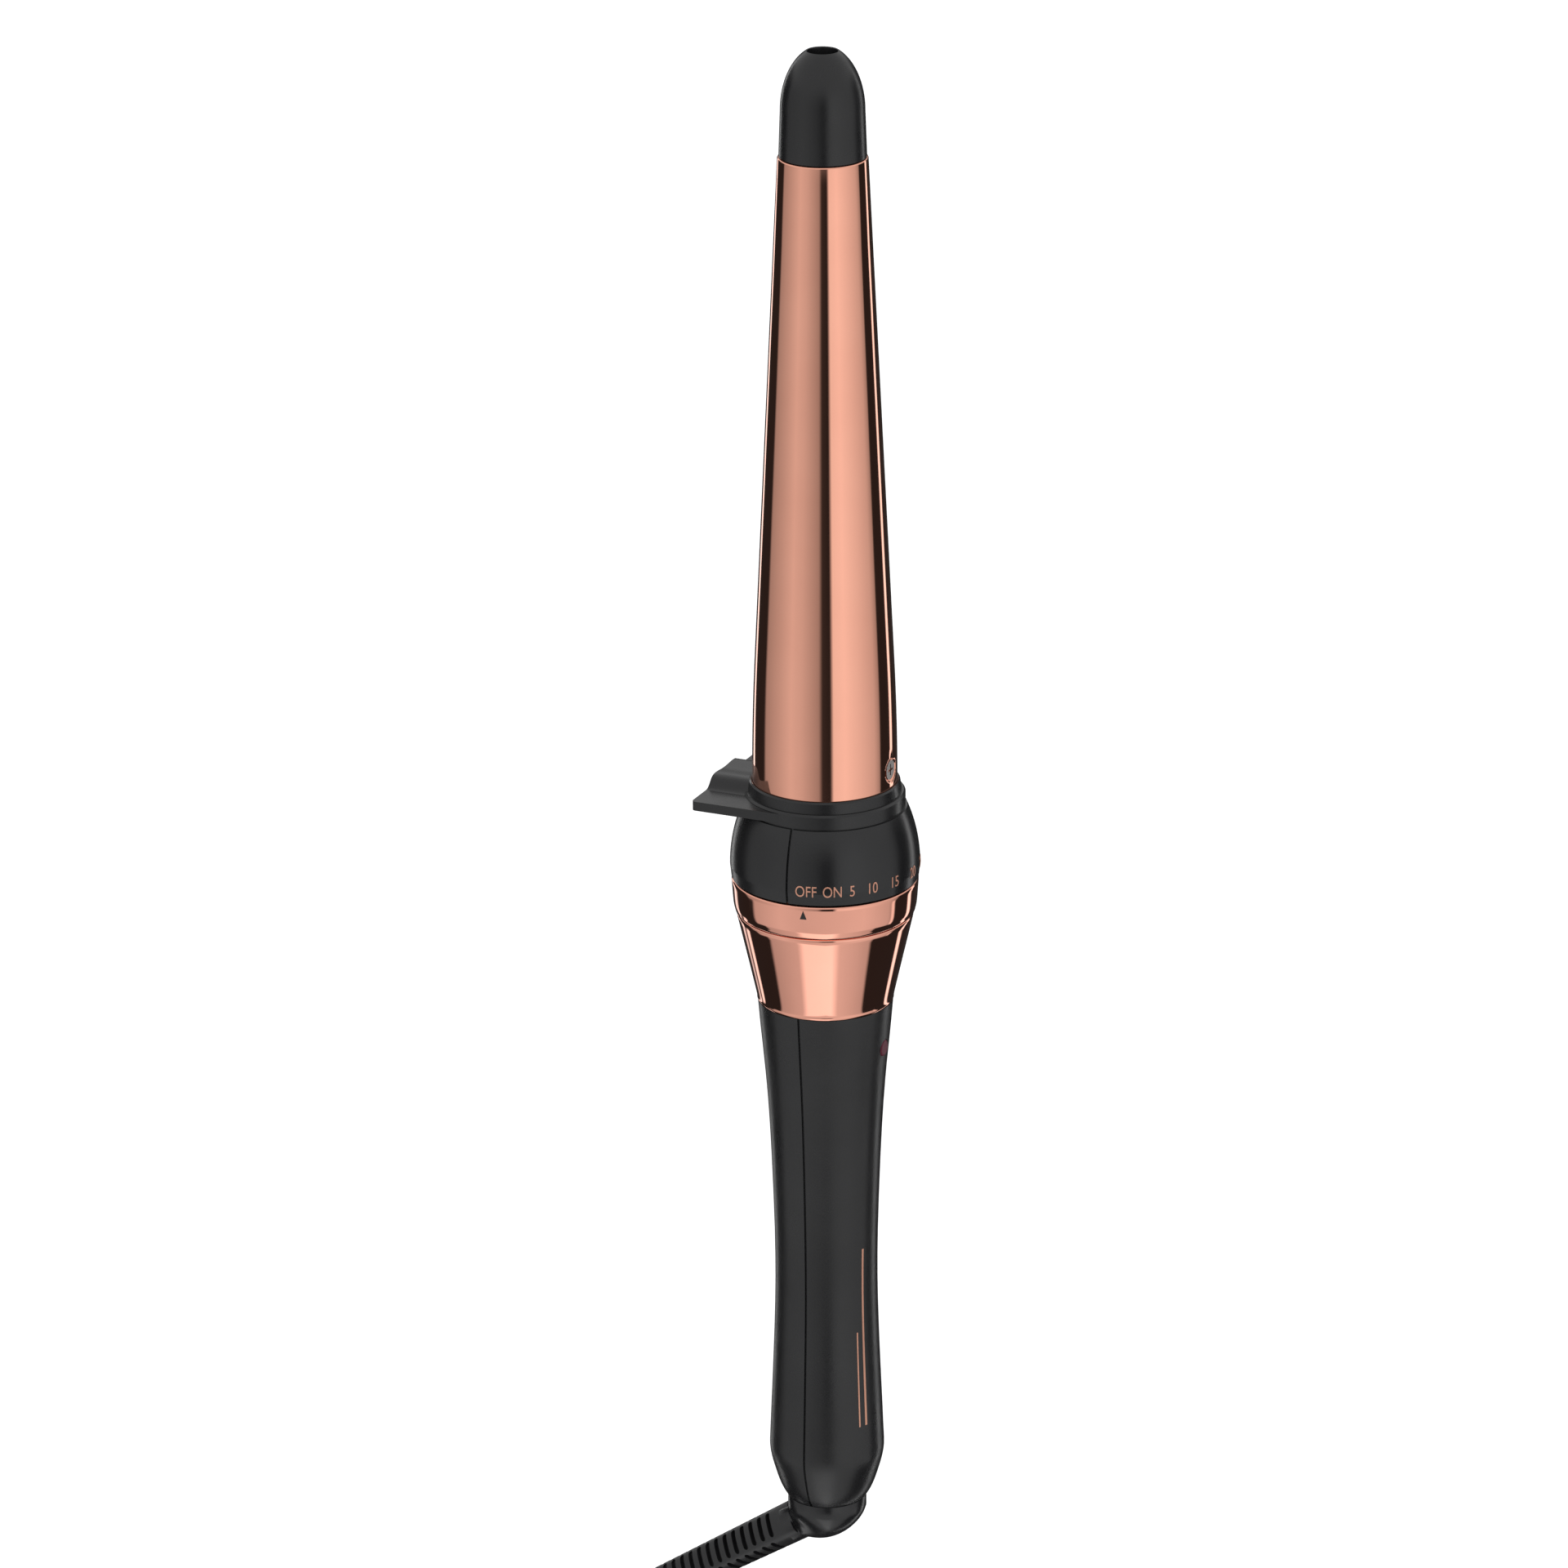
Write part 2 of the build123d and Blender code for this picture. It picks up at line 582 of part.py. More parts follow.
with BuildPart() as dial_ring:
    with BuildSketch(Plane.XZ):
        with BuildLine():
            skin = Spline(
                (HEAD_FOOT_R - 0.05, DIAL_TOP_Z - 1.15),
                (20.36, DIAL_FOOT_Z + 2.3),
                (20.06, DIAL_FOOT_Z + 0.7),
                (19.85, DIAL_FOOT_Z),
            )
            Polyline(
                skin @ 1,
                (RING_TIP_R, DIAL_FOOT_Z),
                (RING_TIP_R, TOOTH_ZONE_Z - 0.2),
                (JOURNAL_R + RUN_FIT, TOOTH_ZONE_Z - 0.2),
                (JOURNAL_R + RUN_FIT, DIAL_TOP_Z - WASHER_T - RUN_FIT),
                (WASHER_R[1] + LOOSE, DIAL_TOP_Z - WASHER_T - RUN_FIT),
                (WASHER_R[1] + LOOSE, DIAL_TOP_Z),
                (HEAD_FOOT_R - 0.7, DIAL_TOP_Z),
                skin @ 0,
            )
        make_face()
    revolve(axis=Axis.Z)
    add(teeth_prism(RING_TEETH, RING_TIP_R - 0.4, RING_ROOT_R, 0.0), mode=Mode.SUBTRACT)
finish(dial_ring, "dial_ring")

with BuildPart() as felt_washer:
    add(tube(WASHER_R[1], WASHER_R[0], DIAL_TOP_Z - WASHER_T, DIAL_TOP_Z))
finish(felt_washer, "felt_washer")

SHAFT_R = 1.5
POT_BUSH_R = 3.0
POT_FOOT_Z = FLOOR_Z + 0.3
POT_HALF = 4.8
BOARD_Z = (POT_FOOT_Z + 4.1, LEDGE_Z - LOOSE)
BUSH_FOOT_Z = GEAR_TOP_Z + 0.9

with BuildPart() as pot_pinion:
    add(rod(PINION_ROOT_R, POT_X, 0, PINION_Z, GEAR_TOP_Z))
    add(teeth_prism(PINION_TEETH, PINION_ROOT_R - 0.3, PINION_TIP_R, -GEAR_BACKLASH, POT_X))
    add(rod(SHAFT_R, POT_X, 0, PINION_Z - 1, GEAR_TOP_Z + 1), mode=Mode.SUBTRACT)
finish(pot_pinion, "pot_pinion")

with BuildPart() as pot_shaft:
    add(rod(SHAFT_R, POT_X, 0, PINION_Z, POT_FOOT_Z + 1.5))
finish(pot_shaft, "pot_shaft")

with BuildPart() as pot_body:
    add(rod(POT_BUSH_R, POT_X, 0, BUSH_FOOT_Z, POT_FOOT_Z))
    add(block((POT_X - POT_HALF, POT_X + POT_HALF), (-POT_HALF, POT_HALF), (POT_FOOT_Z, BOARD_Z[0])))
    add(rod(SHAFT_R + RUN_FIT, POT_X, 0, BUSH_FOOT_Z - 1, POT_FOOT_Z + 1.6), mode=Mode.SUBTRACT)
finish(pot_body, "pot_body")

DIAL_BOARD_BORE_R = 8.0
with BuildPart() as dial_board:
    add(tube(CAVITY_R - LOOSE, DIAL_BOARD_BORE_R, *BOARD_Z))
finish(dial_board, "dial_board")

# ---------------------------------------------------------------- ferrule
with BuildPart() as ferrule:
    with BuildSketch(Plane.XZ):
        with BuildLine():
            rim = CenterArc((FERRULE_TOP_R - 0.5, FERRULE_TOP_Z - 0.5), 0.5, 0, 90)
            waist_z, waist_r = 73.1, 16.78
            foot = (FERRULE_FOOT_R, FERRULE_FOOT_Z)
            skin = Spline(rim @ 0, (18.2, 79.3), (waist_r, waist_z), (15.4, 66.9), foot)
            Polyline(
                skin @ 1,
                (NECK_R + RUN_FIT, FERRULE_FOOT_Z),
                (NECK_R + RUN_FIT, FERRULE_FOOT_Z + FERRULE_WALL),
                (FERRULE_FOOT_R - FERRULE_WALL, FERRULE_FOOT_Z + FERRULE_WALL),
                (waist_r - FERRULE_WALL, waist_z),
                (NECK_WIDE_R + RUN_FIT, NECK_STEP_Z - 2.5),
                (NECK_WIDE_R + RUN_FIT, FERRULE_TOP_Z),
                rim @ 1,
            )
        make_face()
    revolve(axis=Axis.Z)
finish(ferrule, "ferrule")

# ---------------------------------------------------------------- handle casing
BOSS_R = 3.2
FLOOR_TOP_Z = HANDLE_FOOT_Z + HANDLE_FLOOR
SCREW_FLOOR_X = 9.0
HEAD_POCKET_R = 2.9
BOSS_DEPTH_X = 8.6

with BuildPart() as handle_cavity:
    add(handle_solid(HANDLE_WALL, FLOOR_TOP_Z))
    split(bisect_by=Plane.XY.offset(NECK_FOOT_Z - 0.05), keep=Keep.BOTTOM)
    for z in HANDLE_SCREWS_Z:
        add(bar_x(BOSS_R, -15, 15, z), mode=Mode.SUBTRACT)

with BuildPart() as handle_case:
    add(handle_solid(0, HANDLE_FOOT_Z))
    add(handle_cavity.part, mode=Mode.SUBTRACT)
    add(rod(NECK_R + RUN_FIT, 0, 0, NECK_FOOT_Z, HANDLE_TOP_Z + 1), mode=Mode.SUBTRACT)
    add(rod(NECK_FLANGE_R + RUN_FIT, 0, 0, NECK_FOOT_Z - 0.05, NECK_FOOT_Z + 1.95), mode=Mode.SUBTRACT)
    add(rod(STEM_R + RUN_FIT, 0, 0, HANDLE_FOOT_Z - 1, FLOOR_TOP_Z + 1), mode=Mode.SUBTRACT)
    add(bar_x(LENS_R + RUN_FIT, 11, 17, LENS_Z), mode=Mode.SUBTRACT)
    add(bar_x(LENS_R + 0.7 + RUN_FIT, 11, NECK_R + 0.65, LENS_Z), mode=Mode.SUBTRACT)
    for z in HANDLE_SCREWS_Z:
        add(bar_x(SCREW_SHANK_R + RUN_FIT, -15, BOSS_DEPTH_X, z), mode=Mode.SUBTRACT)
        add(bar_x(HEAD_POCKET_R, -16, -SCREW_FLOOR_X, z), mode=Mode.SUBTRACT)

handle_groove = seam_groove(handle_solid(-1, HANDLE_FOOT_Z), handle_solid(SEAM_DEPTH, HANDLE_FOOT_Z))
halves(handle_case.part, handle_groove, "handle_front_shell", "handle_rear_shell")

with BuildPart() as handle_screws:
    for z in HANDLE_SCREWS_Z:
        add(bar_x(SCREW_SHANK_R, -SCREW_FLOOR_X, BOSS_DEPTH_X - 0.6, z))
        add(bar_x(HEAD_POCKET_R - 0.4, -SCREW_FLOOR_X - 1.8, -SCREW_FLOOR_X, z))
        for across in ((3.4, 0.6), (0.6, 3.4)):
            cross = Pos(-SCREW_FLOOR_X - 1.8, 0, z) * Box(1.6, *across, mode=Mode.PRIVATE)
            add(cross, mode=Mode.SUBTRACT)
finish(handle_screws, "handle_screws")

LENS_TIP_X = HANDLE_TOP_R - 0.75
with BuildPart() as indicator_lens:
    add(bar_x(LENS_R, NECK_R + 0.05, LENS_TIP_X, LENS_Z))
    add(bar_x(LENS_R + 0.7, NECK_R + 0.05, NECK_R + 0.6, LENS_Z))
    crown = [e for e in indicator_lens.edges().sort_by(Axis.X)[-1:]]
    fillet(crown, 0.35)
finish(indicator_lens, "indicator_lens")

# ---------------------------------------------------------------- control board and its parts
PCB_X = (0.8, 2.4)
PCB_HALF_W = 7.5
PCB_Z = (-8.0, 60.0)

with BuildPart() as control_board:
    add(block(PCB_X, (-PCB_HALF_W, PCB_HALF_W), PCB_Z))
    add(bar_x(BOSS_R + 4 * LOOSE, -1, 4, HANDLE_SCREWS_Z[0]), mode=Mode.SUBTRACT)
finish(control_board, "control_board")

with BuildPart() as indicator_led:
    add(bar_x(2.4, PCB_X[1], 9.6, LENS_Z))
    with Locations((9.6, 0, LENS_Z)):
        Sphere(2.4)
finish(indicator_led, "indicator_led")

with BuildPart() as triac:
    add(block((-3.7, PCB_X[0]), (-5.0, 5.0), (16.0, 25.0)))
    add(block((-3.7, -2.4), (-5.0, 5.0), (25.0, 31.0)))
    add(bar_x(1.8, -5, 0, 28.5), mode=Mode.SUBTRACT)
finish(triac, "triac")

with BuildPart() as film_capacitor:
    add(block((-5.2, PCB_X[0]), (-6.0, 6.0), (2.0, 13.0)))
finish(film_capacitor, "film_capacitor")

with BuildPart() as controller_chip:
    add(block((PCB_X[1] + 0.2, PCB_X[1] + 1.7), (-2.0, 2.0), (12.0, 17.0)))
    for leg in range(4):
        for side in (-1, 1):
            lead_y = sorted((side * 2.0, side * 3.0))
            lead_z = 12.5 + 1.27 * leg
            add(block((PCB_X[1], PCB_X[1] + 0.5), lead_y, (lead_z - 0.2, lead_z + 0.2)))
finish(controller_chip, "controller_chip")

TERMINAL_TOP_Z = 52.0
POWER_BLOCK_X = (-6.6, PCB_X[0])
SIGNAL_BLOCK_X = (PCB_X[1], 6.6)
with BuildPart() as board_terminals:
    add(block(POWER_BLOCK_X, (-6.0, 6.0), (44.2, TERMINAL_TOP_Z)))
    add(block(SIGNAL_BLOCK_X, (-7.0, 6.0), (44.2, TERMINAL_TOP_Z)))
    add(block((-4.2, PCB_X[0]), (-6.4, 6.4), (-8.0, -1.0)))
finish(board_terminals, "board_terminals")

# wires: heater and fuse leads, thermistor leads, dial leads and mains leads
POWER_WIRE_R = 0.8
SIGNAL_WIRE_R = 0.4
electrode_mid = PTC_HALF_T + ELECTRODE_T / 2
heater_routes = [
    [
        (s * electrode_mid, s * TAB_Y, TAB_Z),
        (s * electrode_mid, s * TAB_Y, 132),
        (-4.2, s * TAB_Y, 122),
        (-4.2, s * TAB_Y, TERMINAL_TOP_Z),
    ]
    for s in (1, -1)
] + [
    [(FUSE_X, 0, FUSE_Z[0]), (FUSE_X, 0, 132), (-3.9, 0, 122), (-3.9, 0, TERMINAL_TOP_Z)],
]
finish(wires(POWER_WIRE_R, heater_routes), "heater_leads")

sensor_routes = [
    [
        (BEAD_X, s * 0.55, BEAD_Z[0]),
        (BEAD_X, s * 0.55, 144),
        (BEAD_X, s * 4.3, 134),
        (BEAD_X, s * 4.3, TERMINAL_TOP_Z),
    ]
    for s in (-1, 1)
]
finish(wires(SIGNAL_WIRE_R, sensor_routes), "sensor_leads")

dial_routes = [
    [
        (x, -9.0, BOARD_Z[0]),
        (x, -9.0, 72),
        (x + 0.9, -6.2, 62),
        (x + 0.9, -6.2, TERMINAL_TOP_Z),
    ]
    for x in (2.0, 3.2, 4.4)
]
finish(wires(SIGNAL_WIRE_R, dial_routes), "dial_leads")

# ---------------------------------------------------------------- swivel
BRUSH_DISC_Z = (-42.0, -36.0)
BRUSH_DISC_R = 10.5
PIN_R = 1.3
PIN_TOP_Z = STEM_TOP_Z + 1.0
RING_R = (3.2, 4.7)
RING_TOP_Z = STEM_TOP_Z + 0.6
CENTRE_BRUSH_R = 1.2
RING_BRUSH_R = 0.6
RING_BRUSH_Y = (RING_R[0] + RING_R[1]) / 2
BRUSH_GAP = 0.1
MAINS_Y = 4.8

with BuildPart() as brush_holder:
    add(rod(BRUSH_DISC_R, 0, 0, *BRUSH_DISC_Z))
    add(rod(CENTRE_BRUSH_R + RUN_FIT, 0, 0, -43, -35), mode=Mode.SUBTRACT)
    add(rod(RING_BRUSH_R + RUN_FIT, 0, RING_BRUSH_Y, -43, -35), mode=Mode.SUBTRACT)
finish(brush_holder, "brush_holder")

with BuildPart() as centre_brush:
    add(rod(CENTRE_BRUSH_R, 0, 0, PIN_TOP_Z + BRUSH_GAP, -35.5))
finish(centre_brush, "centre_brush")

with BuildPart() as ring_brush:
    add(rod(RING_BRUSH_R, 0, RING_BRUSH_Y, RING_TOP_Z + BRUSH_GAP, -35.5))
finish(ring_brush, "ring_brush")

mains_routes = [
    [(-2.0, s * MAINS_Y, BRUSH_DISC_Z[1]), (-2.0, s * MAINS_Y, PCB_Z[0])] for s in (-1, 1)
]
finish(wires(POWER_WIRE_R, mains_routes), "mains_leads")

ELBOW_TOP_Z = HANDLE_FOOT_Z - LOOSE
ELBOW_BEND_Z = ELBOW_TOP_Z - ELBOW_STRAIGHT
FLANGE_Z = FLOOR_TOP_Z + LOOSE
drop = radians(RELIEF_DROP)
RELIEF_DIR = (-cos(drop), 0, -sin(drop))


def along_relief(distance):
    """A point on the strain relief's axis."""
    return (RELIEF_DIR[0] * distance, 0, RELIEF_AXIS_Z + RELIEF_DIR[2] * distance)


def relief_plane(distance):
    """The plane across the strain relief at a distance from the swivel's axis."""
    return Plane(origin=along_relief(distance), x_dir=(0, 1, 0), z_dir=RELIEF_DIR)


with BuildPart() as swivel_stem:
    add(rod(STEM_R, 0, 0, ELBOW_TOP_Z - 2, STEM_TOP_Z))
    add(rod(STEM_FLANGE_R, 0, 0, FLANGE_Z, FLANGE_Z + STEM_FLANGE_T))
finish(swivel_stem, "swivel_stem")

with BuildPart() as contact_pin:
    add(rod(PIN_R, 0, 0, STEM_TOP_Z, PIN_TOP_Z))
finish(contact_pin, "contact_pin")

with BuildPart() as contact_ring:
    add(tube(RING_R[1], RING_R[0], STEM_TOP_Z, RING_TOP_Z))
finish(contact_ring, "contact_ring")

SOCKET_R = 3.5
SOCKET_FLOOR = 4.0
with BuildPart() as swivel_elbow:
    add(rod(HANDLE_FOOT_R, 0, 0, ELBOW_BEND_Z, ELBOW_TOP_Z))
    with Locations((0, 0, ELBOW_BEND_Z)):
        Sphere(HANDLE_FOOT_R)
    split(bisect_by=Plane.XY.offset(ELBOW_TOP_Z), keep=Keep.BOTTOM)
    add(rod(STEM_R, 0, 0, ELBOW_TOP_Z - 2, ELBOW_TOP_Z + 1), mode=Mode.SUBTRACT)
    with BuildSketch(relief_plane(SOCKET_FLOOR)):
        Circle(SOCKET_R + RUN_FIT)
    extrude(amount=12, mode=Mode.SUBTRACT)
finish(swivel_elbow, "swivel_elbow")

NECK_START = HANDLE_FOOT_R + 0.05
with BuildPart() as strain_relief:
    with BuildSketch(relief_plane(SOCKET_FLOOR + LOOSE)):
        Circle(SOCKET_R)
    extrude(amount=NECK_START + 1 - SOCKET_FLOOR)
    with BuildSketch(relief_plane(NECK_START + 0.6)):
        RectangleRounded(RELIEF_ROOT, RELIEF_ROOT, RELIEF_ROOT * 0.3)
    with BuildSketch(relief_plane(RELIEF_REACH)):
        RectangleRounded(RELIEF_END, RELIEF_END, RELIEF_END * 0.3)
    loft()
finish(strain_relief, "strain_relief")

# ---------------------------------------------------------------- cord, hank and plug
# the cord leaves the relief, droops and hangs; its length is folded into a tied hank below
EXIT = along_relief(RELIEF_REACH)
LEAD_POINTS = [
    (EXIT[0], 0, EXIT[2]),
    (-61.4, 0, -101.2),
    (-74.0, -5.0, -117.0),
    (-79.0, -9.0, -134.0),
    (-79.0, -9.0, -148.0),
]
HANK_TURN_R = FOLD_R + CORD_D
HANK_X = LEAD_POINTS[-1][0] + HANK_TURN_R
HANK_HALF = HANK_RUN / 2
HANK_Z = LEAD_POINTS[-1][2] - STUB - HANK_HALF
HANK_R = HANK_TURN_R + CORD_D / 2
HANK_T = HANK_LAYERS * CORD_D
TAIL_POINTS = [
    (LEAD_POINTS[-1][0], 9.0, HANK_Z - HANK_HALF - STUB),
    (-79.0, 9.0, -291.0),
    (-77.3, 9.0, -307.0),
]


def corner_radii(points):
    """For each corner, 0.45 of the shorter run beside it over the tangent of half its turn."""
    radii = []
    for before, here, after in zip(points, points[1:], points[2:]):
        first, second = Vector(*here) - Vector(*before), Vector(*after) - Vector(*here)
        half_turn = radians(first.get_angle(second)) / 2
        radii.append(0.45 * min(first.length, second.length) / tan(half_turn))
    return radii


def cord_tube(points, label):
    """A round cord along straight runs joined by tangent arcs."""
    radii = corner_radii(points)
    print(label, "corner radii", [round(r, 1) for r in radii])
    with BuildPart() as cord:
        with BuildLine() as line:
            FilletPolyline(*points, radius=radii)
        with BuildSketch(Plane(origin=line.line @ 0, z_dir=line.line % 0)):
            Circle(CORD_D / 2)
        sweep(path=line.line)
    length = sum(edge.length for edge in line.edges())
    print(label, "volume", round(cord.part.volume), "section x length", round(pi * CORD_D**2 / 4 * length))
    finish(cord, label)


cord_tube(LEAD_POINTS, "power_cord")
cord_tube(TAIL_POINTS, "cord_tail")

with BuildPart() as cord_hank:
    with BuildSketch(Plane.XZ.offset(-HANK_T / 2)):
        with BuildLine():
            top, low = HANK_Z + HANK_HALF, HANK_Z - HANK_HALF
            left, right = HANK_X - HANK_R, HANK_X + HANK_R
            ThreePointArc((left, top), (HANK_X, top + HANK_R), (right, top))
            ThreePointArc((right, top), (right - HANK_PINCH, HANK_Z), (right, low))
            ThreePointArc((right, low), (HANK_X, low - HANK_R), (left, low))
            ThreePointArc((left, low), (left + HANK_PINCH, HANK_Z), (left, top))
        make_face()
    extrude(amount=HANK_T)
    add(rod(CORD_D / 2, *LEAD_POINTS[-1][:2], top - 2, LEAD_POINTS[-1][2]))
    add(rod(CORD_D / 2, *TAIL_POINTS[0][:2], TAIL_POINTS[0][2], low + 2))
finish(cord_hank, "cord_hank")

TIE_T = 1.2
TIE_W = 9.0
with BuildPart() as cord_tie:
    with BuildSketch(Plane.XY.offset(HANK_Z - TIE_W / 2)):
        with Locations((HANK_X, 0)):
            wide, deep = 2 * (HANK_R - HANK_PINCH), HANK_T
            RectangleRounded(wide + 2 * TIE_T + 0.2, deep + 2 * TIE_T + 0.2, 2.0)
            RectangleRounded(wide + 0.2, deep + 0.2, 1.0, mode=Mode.SUBTRACT)
    extrude(amount=TIE_W)
finish(cord_tie, "cord_tie")

PLUG_LENGTH = 36.0
PLUG_W = 23.0
PLUG_T = 15.0
BLADE_GAP = 12.7
BLADE_LENGTH = 17.0
BLADE_T = 1.5
BLADE_WIDTHS = (6.35, 7.94)
tail_end = Vector(*TAIL_POINTS[-1])
tail_way = (tail_end - Vector(*TAIL_POINTS[-2])).normalized()


def plug_plane(distance):
    """The plane across the plug at a distance from the cord's end."""
    return Plane(origin=tail_end + tail_way * distance, x_dir=(0, 1, 0), z_dir=tail_way)


PLUG_NECK = 14.0
with BuildPart() as plug_body:
    with BuildSketch(plug_plane(0)):
        Circle(CORD_D / 2 + 1.2)
    with BuildSketch(plug_plane(PLUG_NECK)):
        Circle(CORD_D / 2 + 2.4)
    loft()
    with BuildSketch(plug_plane(PLUG_NECK - 0.01)):
        RectangleRounded(PLUG_W * 0.62, PLUG_T * 0.75, 4.0)
    with BuildSketch(plug_plane(PLUG_NECK + 10)):
        RectangleRounded(PLUG_W, PLUG_T, 5.0)
    loft()
    with BuildSketch(plug_plane(PLUG_NECK + 10)):
        RectangleRounded(PLUG_W, PLUG_T, 5.0)
    extrude(amount=PLUG_LENGTH - PLUG_NECK - 10)
finish(plug_body, "plug_body")

with BuildPart() as plug_blades:
    for side, width in zip((-1, 1), BLADE_WIDTHS):
        with BuildSketch(plug_plane(PLUG_LENGTH)):
            with Locations((side * BLADE_GAP / 2, 0)):
                Rectangle(BLADE_T, width)
        extrude(amount=BLADE_LENGTH)
finish(plug_blades, "plug_blades")
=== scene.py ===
"""Curling wand with a turning heat dial, a swivelling cord exit and a tied, stored cord.

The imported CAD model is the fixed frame. The classes below build the pieces that are seen, dress them and
the carried-over CAD pieces with procedural finishes, and set up a plain pale studio.
"""

import logging
import math
from dataclasses import dataclass
from enum import Enum
from typing import Callable, Sequence

import bmesh
import bpy
from mathutils import Matrix, Vector
from mathutils.bvhtree import BVHTree


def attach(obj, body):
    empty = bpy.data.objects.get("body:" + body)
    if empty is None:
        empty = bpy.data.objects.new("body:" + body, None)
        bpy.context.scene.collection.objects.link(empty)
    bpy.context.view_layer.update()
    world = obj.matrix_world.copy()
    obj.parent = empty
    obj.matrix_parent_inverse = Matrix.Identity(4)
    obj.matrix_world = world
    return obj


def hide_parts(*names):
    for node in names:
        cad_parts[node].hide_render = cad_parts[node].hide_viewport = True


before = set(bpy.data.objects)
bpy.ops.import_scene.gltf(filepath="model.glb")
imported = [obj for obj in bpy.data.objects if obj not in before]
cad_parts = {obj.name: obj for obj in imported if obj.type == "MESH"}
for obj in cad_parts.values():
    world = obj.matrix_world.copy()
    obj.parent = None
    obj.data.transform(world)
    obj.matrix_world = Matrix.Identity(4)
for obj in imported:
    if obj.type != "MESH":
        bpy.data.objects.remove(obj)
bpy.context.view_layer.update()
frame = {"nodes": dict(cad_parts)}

log = logging.getLogger("curling_wand")
logging.basicConfig(level=logging.INFO, format="%(name)s: %(message)s")

MM = 0.001
Point = tuple[float, float, float]


# ------------------------------------------------------------------ mesh helpers
def smoothstep(low: float, high: float, value: float) -> float:
    """Smooth step from 0 at low to 1 at high."""
    t = min(1.0, max(0.0, (value - low) / (high - low)))
    return t * t * (3 - 2 * t)


def arc(centre: tuple[float, float], radius: float, start: float, end: float, count: int) -> list:
    """Points along a round corner of an outline.

    Args:
        centre: the corner's centre, radius and height in mm.
        radius: the corner's radius in mm.
        start: first angle in degrees, 0 outwards and 90 upwards.
        end: last angle in degrees.
        count: number of points.

    Returns:
        The points as (radius, height) in mm.
    """
    steps = [start + (end - start) * i / (count - 1) for i in range(count)]
    return [
        (centre[0] + radius * math.cos(math.radians(a)), centre[1] + radius * math.sin(math.radians(a)))
        for a in steps
    ]


def smooth_line(points: Sequence[tuple[float, float]], per_span: int) -> list:
    """A smooth line through given points.

    Args:
        points: (radius, height) in mm.
        per_span: number of steps in each span.

    Returns:
        The points of the smooth line, both ends included.
    """
    first = (2 * points[0][0] - points[1][0], 2 * points[0][1] - points[1][1])
    last = (2 * points[-1][0] - points[-2][0], 2 * points[-1][1] - points[-2][1])
    p = [first, *points, last]
    line = []
    for i in range(1, len(p) - 2):
        for k in range(per_span):
            t = k / per_span
            line.append(
                tuple(
                    0.5
                    * (
                        2 * p[i][c]
                        + (p[i + 1][c] - p[i - 1][c]) * t
                        + (2 * p[i - 1][c] - 5 * p[i][c] + 4 * p[i + 1][c] - p[i + 2][c]) * t * t
                        + (3 * p[i][c] - p[i - 1][c] - 3 * p[i + 1][c] + p[i + 2][c]) * t**3
                    )
                    for c in (0, 1)
                )
            )
    line.append(points[-1])
    return line


def new_piece(name: str, data: bpy.types.ID) -> bpy.types.Object:
    """Link a mesh, a curve or a camera into the scene as an object at the origin."""
    piece = bpy.data.objects.new(name, data)
    bpy.context.scene.collection.objects.link(piece)
    return piece


def baked(piece: bpy.types.Object) -> bpy.types.Mesh:
    """The plain mesh that a piece's curve or modifiers give."""
    graph = bpy.context.evaluated_depsgraph_get()
    return bpy.data.meshes.new_from_object(piece.evaluated_get(graph))


def settle(mesh: bpy.types.Mesh, sharp: float = 35.0) -> None:
    """Merge doubles, turn the faces outwards and shade them smooth up to an angle.

    Args:
        mesh: the mesh to settle.
        sharp: the angle in degrees past which an edge stays sharp.
    """
    work = bmesh.new()
    work.from_mesh(mesh)
    bmesh.ops.remove_doubles(work, verts=work.verts, dist=1e-7)
    bmesh.ops.recalc_face_normals(work, faces=work.faces)
    for face in work.faces:
        face.smooth = True
    work.to_mesh(mesh)
    work.free()
    mesh.set_sharp_from_angle(angle=math.radians(sharp))
    mesh.update()


def solid(name: str, verts: Sequence, faces: Sequence) -> bpy.types.Object:
    """Make a settled piece from points in metres and faces given as their indices."""
    mesh = bpy.data.meshes.new(name)
    mesh.from_pydata(verts, [], faces)
    settle(mesh)
    return new_piece(name, mesh)


def lathe(
    name: str,
    outline: Sequence[tuple[float, float]],
    segments: int = 192,
    press: Callable[[float, float], float] | None = None,
    ring: bool = False,
) -> bpy.types.Object:
    """Turn an outline about the wand's axis into a closed solid.

    Args:
        name: the piece's name.
        outline: (radius, height) in mm, from the axis back to the axis, or a closed ring.
        segments: number of steps round the axis.
        press: how far a point at (angle, height) is pressed inwards, in mm.
        ring: True if the outline is a closed ring that never meets the axis.

    Returns:
        The new object.
    """
    verts, faces, rows = [], [], []
    for radius, height in outline:
        if radius < 1e-6:
            rows.append([len(verts)] * segments)
            verts.append((0, 0, height * MM))
            continue
        rows.append(list(range(len(verts), len(verts) + segments)))
        for i in range(segments):
            angle = 2 * math.pi * i / segments
            r = radius - (press(angle, height) if press else 0.0)
            verts.append((r * math.cos(angle) * MM, r * math.sin(angle) * MM, height * MM))
    pairs = list(zip(rows, rows[1:])) + ([(rows[-1], rows[0])] if ring else [])
    for low, high in pairs:
        for i in range(segments):
            j = (i + 1) % segments
            corners = list(dict.fromkeys((low[i], low[j], high[j], high[i])))
            if len(corners) > 2:
                faces.append(corners)
    return solid(name, verts, faces)


